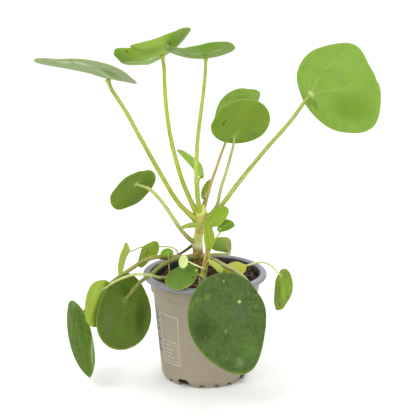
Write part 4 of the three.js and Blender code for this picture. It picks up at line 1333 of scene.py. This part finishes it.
def pot_profile(looks):
    """The pot's wall from the inside of the foot, round the outside and rim, to the inner floor.

    Gives radii and heights, and the rows between which the wall has the rim's tone.
    """
    wall, foot = looks.wall / MM, looks.foot_radius / MM
    low, shoulder = looks.collar_bottom / MM, looks.shoulder_radius / MM
    collar, heel, heel_z = looks.collar_radius / MM, looks.heel_radius / MM, looks.heel_height / MM
    mouth = looks.mouth_radius / MM
    outer = [(foot - wall - 0.6, 1.0), (foot - wall, 0.1), (foot - wall + 0.3, 0.0),
             (foot - 0.3, 0.0), (foot, 0.2), (foot + 0.4, 2.4), (foot + 0.8, 3.4),
             (foot + 1.8, 4.4), (heel - 0.5, 5.4), (heel - 0.1, 6.2), (heel, 7.0)]
    wall_top = low - COLLAR_STEP
    for part in np.arange(1, WALL_STEPS + 1) / WALL_STEPS:
        outer.append((heel + (shoulder - heel) * part, heel_z + (wall_top - heel_z) * part))
    outer += [(shoulder + 0.1, low - 2.0), (shoulder + 0.9, low - 0.8), (shoulder + 1.7, low - 0.35),
              (shoulder + 2.2, low + 0.1), (shoulder + 2.4, low + 0.7), (collar, low + 10),
              (collar + 0.3, low + 10.9), (collar + 1.1, low + 11.4)]
    turns = np.radians(ROLL_FROM + np.arange(ROLL_POINTS) * ROLL_TURN / (ROLL_POINTS - 1))
    rim = [(RIM_RADIUS - ROLL_WIDE + ROLL_WIDE * math.cos(turn),
            ROLL_CENTRE_HEIGHT + ROLL_HIGH * math.sin(turn)) for turn in turns]
    rim += [(mouth + 1.4, RIM_TOP), (mouth + 0.4, RIM_TOP - 0.2), (mouth - 0.4, RIM_TOP - 0.8)]
    inner = [(mouth - 0.9, 104.3), (mouth - 1.2, 103.4), (mouth - 1.8, 101.6), (mouth - 2.1, 100.0),
             (mouth - 2.1, 94.0), (mouth - 2.1, low), (shoulder - wall - 0.1, wall_top),
             (heel - wall, heel_z), (foot - wall, POT_FLOOR / MM)]
    profile = [(r * MM, z * MM) for r, z in outer + rim + inner]
    return profile, len(outer), len(outer) + len(rim)


def build_pot(looks):
    """The pot turned about its axis, with the notches of its foot cut out."""
    profile, lip_start, lip_end = pot_profile(looks)
    turns = [k / POT_SPOKES * 2 * math.pi for k in range(POT_SPOKES)]
    points = [(r * math.cos(turn), r * math.sin(turn), z) for r, z in profile for turn in turns]
    parts = []
    for row in range(len(profile) - 1):
        part = OUTSIDE if row < lip_start else LIP if row < lip_end else INSIDE
        parts += [part] * POT_SPOKES
    parts += [OUTSIDE, INSIDE]
    faces = skin(len(profile), POT_SPOKES)
    # The lip's grey-blue tone is a painted reflection of the surround.
    materials = [plastic("pot outside", tuple(looks.outside), roughness=0.46),
                 plastic("pot lip", tuple(looks.lip), roughness=0.42),
                 plastic("pot inside", tuple(looks.inside), roughness=0.5, painted_reflections=0.7)]
    piece = new_piece("pot_shell", points, faces, ["pot"], materials)
    for face, part in zip(piece.data.polygons, parts):
        face.material_index = part
    cut_notches(piece, looks)
    piece.data.set_sharp_from_angle(angle=math.radians(38))
    return piece


def cut_notches(pot, looks):
    """Four wide notches and between them small round ones, cut from the foot ring."""
    cutter_mesh = bmesh.new()
    foot = looks.foot_radius
    round_part = [(ARCH_HALF * math.cos(turn), ARCH_HIGH * math.sin(turn))
                  for turn in np.linspace(math.pi, 0, 9)]
    arch = [(-ARCH_FOOT, -1), *round_part, (ARCH_FOOT, -1)]
    for sector in range(NOTCHES):
        azimuth = FIRST_NOTCH + 360 / NOTCHES * sector
        add_cutter(cutter_mesh, azimuth, foot - 3.5 * MM, foot + 6.5 * MM, WIDE_NOTCH)
        for offset in ARCH_OFFSETS:
            add_cutter(cutter_mesh, azimuth + offset, foot - 3 * MM, foot + 3 * MM, arch)
    mesh = bpy.data.meshes.new("notch cutter")
    bmesh.ops.recalc_face_normals(cutter_mesh, faces=cutter_mesh.faces)
    cutter_mesh.to_mesh(mesh)
    cutter_mesh.free()
    cutter = bpy.data.objects.new("notch cutter", mesh)
    bpy.context.scene.collection.objects.link(cutter)
    modifier = pot.modifiers.new("notches", "BOOLEAN")
    modifier.operation = "DIFFERENCE"
    modifier.solver = "EXACT"
    modifier.object = cutter
    bpy.context.view_layer.update()
    evaluated = pot.evaluated_get(bpy.context.evaluated_depsgraph_get())
    cut = bpy.data.meshes.new_from_object(evaluated)
    pot.modifiers.clear()
    old, pot.data = pot.data, cut
    bpy.data.meshes.remove(old)
    bpy.data.objects.remove(cutter)


def add_cutter(mesh, azimuth, near, far, shape):
    """A prism that runs outwards through the foot, with the given arch as its section, in mm."""
    turn = math.radians(azimuth)
    out = Vector((math.cos(turn), math.sin(turn), 0))
    aside = Vector((-math.sin(turn), math.cos(turn), 0))
    ends = [[mesh.verts.new(out * reach + aside * (a * MM) + Vector((0, 0, z * MM)))
             for a, z in shape] for reach in (near, far)]
    mesh.faces.new(ends[0])
    mesh.faces.new(ends[1][::-1])
    for k in range(len(shape)):
        after = (k + 1) % len(shape)
        mesh.faces.new((ends[0][k], ends[1][k], ends[1][after], ends[0][after]))


def wall_radius(looks, z):
    """Outer radius of the pot's wall at a height."""
    wall_top = looks.collar_bottom - COLLAR_STEP * MM
    rise = (z - looks.heel_height) / (wall_top - looks.heel_height)
    return looks.heel_radius + (looks.shoulder_radius - looks.heel_radius) * rise


def inside_radius(looks, z):
    """Inner radius of the pot under its collar at a height, down to its floor."""
    if z > looks.heel_height:
        return wall_radius(looks, z) - looks.wall
    part = max(0.0, (z - POT_FLOOR) / (looks.heel_height - POT_FLOOR))
    return looks.foot_radius + (looks.heel_radius - looks.foot_radius) * part - looks.wall


# How far the ink stands out of the wall and reaches into it in mm, and the largest cells of its
# grid, in degrees and mm.
INK_LAYERS = (0.12, -0.15)
CELL_TURN, CELL_HEIGHT = 1.2, 6
# Frames of the label: azimuths, heights and the width of the lines, in degrees and mm.
LABEL_FRAMES = ((207, 238, 21.5, 72, 0.6), (210, 235, 24.5, 45, 0.5))


def printed_bar(looks, points, faces, turn_from, turn_to, low, high):
    """A thin raised patch of ink that follows the wall, from one azimuth and height to another."""
    columns = max(2, int((turn_to - turn_from) / CELL_TURN) + 1)
    rows = max(2, int((high - low) / CELL_HEIGHT) + 1)
    first = len(points)
    for layer in INK_LAYERS:
        for row in range(rows):
            z = (low + (high - low) * row / (rows - 1)) * MM
            radius = wall_radius(looks, z) + layer * MM
            for column in range(columns):
                turn = math.radians(turn_from + (turn_to - turn_from) * column / (columns - 1))
                points.append((radius * math.cos(turn), radius * math.sin(turn), z))
    back = rows * columns
    for row in range(rows - 1):
        for column in range(columns - 1):
            a = first + row * columns + column
            faces.append((a, a + 1, a + columns + 1, a + columns))
            faces.append((a + back, a + back + columns, a + back + columns + 1, a + back + 1))
    rim = [first + c for c in range(columns)]
    rim += [first + r * columns + columns - 1 for r in range(1, rows)]
    rim += [first + (rows - 1) * columns + c for c in range(columns - 2, -1, -1)]
    rim += [first + r * columns for r in range(rows - 2, 0, -1)]
    for k, a in enumerate(rim):
        b = rim[(k + 1) % len(rim)]
        faces.append((a, a + back, b + back, b))


def frame_bars(looks, points, faces, turn_from, turn_to, low, high, width):
    """Four bars round a rectangle on the wall."""
    thin = math.degrees(width * MM / looks.shoulder_radius)
    printed_bar(looks, points, faces, turn_from, turn_to, low, low + width)
    printed_bar(looks, points, faces, turn_from, turn_to, high - width, high)
    printed_bar(looks, points, faces, turn_from, turn_from + thin, low + width, high - width)
    printed_bar(looks, points, faces, turn_to - thin, turn_to, low + width, high - width)


def build_label(looks):
    """Plain frames and bars on the wall."""
    pale, dark = ([], []), ([], [])
    for frame_sizes in LABEL_FRAMES:
        frame_bars(looks, *pale, *frame_sizes)
    for k in range(4):
        low = 28 + 4.2 * k
        printed_bar(looks, *pale, 214, 229 - 4 * (k % 2), low, low + 0.6)
    for k in range(12):
        low = 30 + 3.8 * k
        printed_bar(looks, *dark, 189, 204 - 3 * (k % 3), low, low + 2)
    for name, tone, (points, faces) in (("label_pale", looks.ink, pale),
                                        ("label_dark", looks.dark_ink, dark)):
        material = plastic(name, tuple(tone), roughness=0.5)
        new_piece(name, points, faces, materials=[material], smooth=False)


# ---- Stage ----
FLOOR_RINGS, FLOOR_SIDES = (0.5, 1.5, 6.0), 64
LIGHTS_AIM = (0, 0, 0.18)
SENSOR_MM = 36


def build_floor(looks):
    """A pale round floor that is part of the stage."""
    turns = np.arange(FLOOR_SIDES) / FLOOR_SIDES * 2 * math.pi
    points = [(0, 0, 0)]
    points += [(r * math.cos(turn), r * math.sin(turn), 0) for r in FLOOR_RINGS for turn in turns]
    faces = [(0, 1 + k, 1 + (k + 1) % FLOOR_SIDES) for k in range(FLOOR_SIDES)]
    for inner in range(1, 1 + (len(FLOOR_RINGS) - 1) * FLOOR_SIDES, FLOOR_SIDES):
        outer = inner + FLOOR_SIDES
        for k in range(FLOOR_SIDES):
            after = (k + 1) % FLOOR_SIDES
            faces.append((inner + k, outer + k, outer + after, inner + after))
    mesh = bpy.data.meshes.new("floor")
    mesh.from_pydata(points, [], faces)
    material, graph = new_material("floor")
    cloud = graph.noise(graph.place(), 3.0, 2.0)
    tone = graph.mix(graph.ease(cloud, 0.3, 0.7, 0.0, 0.1), tuple(looks.floor), (0.97, 0.97, 0.97))
    finish_material(graph, graph.add("ShaderNodeBsdfPrincipled",
                                     {"Base Color": tone, "Roughness": 0.9}))
    mesh.materials.append(material)
    floor = bpy.data.objects.new("floor", mesh)
    bpy.context.scene.collection.objects.link(floor)


def area_light(name, place, size, power):
    """A soft round light that shines at the middle of the plant."""
    lamp = bpy.data.lights.new(name, "AREA")
    lamp.shape = "DISK"
    lamp.size = size
    lamp.energy = power
    light = bpy.data.objects.new(name, lamp)
    light.location = place
    ahead = Vector(LIGHTS_AIM) - Vector(place)
    light.rotation_euler = ahead.to_track_quat("-Z", "Y").to_euler()
    bpy.context.scene.collection.objects.link(light)


def build_lights(looks):
    """A white surround with a key, a fill and a back light."""
    world = bpy.data.worlds.new("surround")
    world.use_nodes = True
    background = world.node_tree.nodes["Background"].inputs
    background["Color"].default_value = (1, 1, 1, 1)
    background["Strength"].default_value = looks.surround
    bpy.context.scene.world = world
    area_light("key", (-0.8, -0.9, 1.3), 0.9, looks.key)
    area_light("fill", (0.9, -1.2, 0.6), 1.2, looks.fill)
    area_light("back", (0.3, 1.0, 1.2), 1.0, looks.back)


def place_camera(looks):
    """The camera at the photo's place, angle and focal length."""
    camera_data = bpy.data.cameras.new("photo camera")
    camera_data.lens = looks.lens_mm
    camera_data.sensor_width = SENSOR_MM
    camera = bpy.data.objects.new("photo camera", camera_data)
    camera.location = looks.camera
    camera.rotation_euler = (math.pi / 2 - looks.pitch, 0, 0)
    bpy.context.scene.collection.objects.link(camera)
    bpy.context.scene.camera = camera
    bpy.context.scene.view_settings.view_transform = "Standard"


# ---- Operators ----
class PILEA_OT_blades(bpy.types.Operator):
    """Builds the fleshy blade of each leaf"""
    bl_idname = "pilea.blades"
    bl_label = "Blades"

    def execute(self, context):
        for leaf in LEAVES:
            build_blade(leaf, context.scene.pilea_leaf)
        return {"FINISHED"}


class PILEA_OT_stalks(bpy.types.Operator):
    """Builds the stalk of each leaf"""
    bl_idname = "pilea.stalks"
    bl_label = "Stalks"

    def execute(self, context):
        for leaf in LEAVES:
            build_stalk(leaf, context.scene.pilea_stalk)
        return {"FINISHED"}


class PILEA_OT_stems(bpy.types.Operator):
    """Builds the main stem, the offshoot and the papery scales on them"""
    bl_idname = "pilea.stems"
    bl_label = "Stems"

    def execute(self, context):
        looks = context.scene.pilea_stem
        feet = stalk_feet("main_stem")
        build_stem("main_stem", looks, feet, bud=9, bark=126, bands=(131,), blushes=(146, 156))
        young_feet = stalk_feet("offshoot_stem")
        build_stem("offshoot_stem", looks, young_feet, bud=3, bark=80, bands=(103,),
                   blushes=(120, 130))
        build_stipules(feet + young_feet, looks)
        return {"FINISHED"}


class PILEA_OT_soil(bpy.types.Operator):
    """Builds the soil with its fibres and chips"""
    bl_idname = "pilea.soil"
    bl_label = "Soil"

    def execute(self, context):
        build_soil(context.scene.pilea_soil, context.scene.pilea_pot)
        return {"FINISHED"}


class PILEA_OT_pot(bpy.types.Operator):
    """Builds the moulded pot and the plain frames on its wall"""
    bl_idname = "pilea.pot"
    bl_label = "Pot"

    def execute(self, context):
        looks = context.scene.pilea_pot
        build_pot(looks)
        build_label(looks)
        return {"FINISHED"}


class PILEA_OT_stage(bpy.types.Operator):
    """Sets up the floor, the surround, the lights and the camera"""
    bl_idname = "pilea.stage"
    bl_label = "Stage"

    def execute(self, context):
        looks = context.scene.pilea_stage
        build_floor(looks)
        build_lights(looks)
        place_camera(looks)
        return {"FINISHED"}


OPERATORS = (PILEA_OT_pot, PILEA_OT_soil, PILEA_OT_stems, PILEA_OT_stalks, PILEA_OT_blades,
             PILEA_OT_stage)
SETTINGS = {"leaf": PileaLeafSettings, "stalk": PileaStalkSettings, "stem": PileaStemSettings,
            "soil": PileaSoilSettings, "pot": PileaPotSettings, "stage": PileaStageSettings}


class PILEA_PT_panel(bpy.types.Panel):
    """The plant's settings and the steps that build it"""
    bl_label = "Potted Pilea"
    bl_idname = "PILEA_PT_panel"
    bl_space_type = "VIEW_3D"
    bl_region_type = "UI"
    bl_category = "Pilea"

    def draw(self, context):
        for name, kind in SETTINGS.items():
            box = self.layout.box()
            box.label(text=name.capitalize())
            for key in kind.__annotations__:
                box.prop(getattr(context.scene, f"pilea_{name}"), key)
        for operator in OPERATORS:
            self.layout.operator(operator.bl_idname)


def register():
    for kind in (*SETTINGS.values(), *OPERATORS, PILEA_PT_panel):
        bpy.utils.register_class(kind)
    for name, kind in SETTINGS.items():
        setattr(bpy.types.Scene, f"pilea_{name}", PointerProperty(type=kind))


def unregister():
    for name in SETTINGS:
        delattr(bpy.types.Scene, f"pilea_{name}")
    for kind in (PILEA_PT_panel, *reversed(OPERATORS), *reversed(SETTINGS.values())):
        bpy.utils.unregister_class(kind)


def main():
    """Builds the plant."""
    register()
    bpy.ops.pilea.pot()
    bpy.ops.pilea.soil()
    bpy.ops.pilea.stems()
    bpy.ops.pilea.stalks()
    bpy.ops.pilea.blades()
    bpy.ops.pilea.stage()
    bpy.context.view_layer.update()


if __name__ == "__main__":
    main()
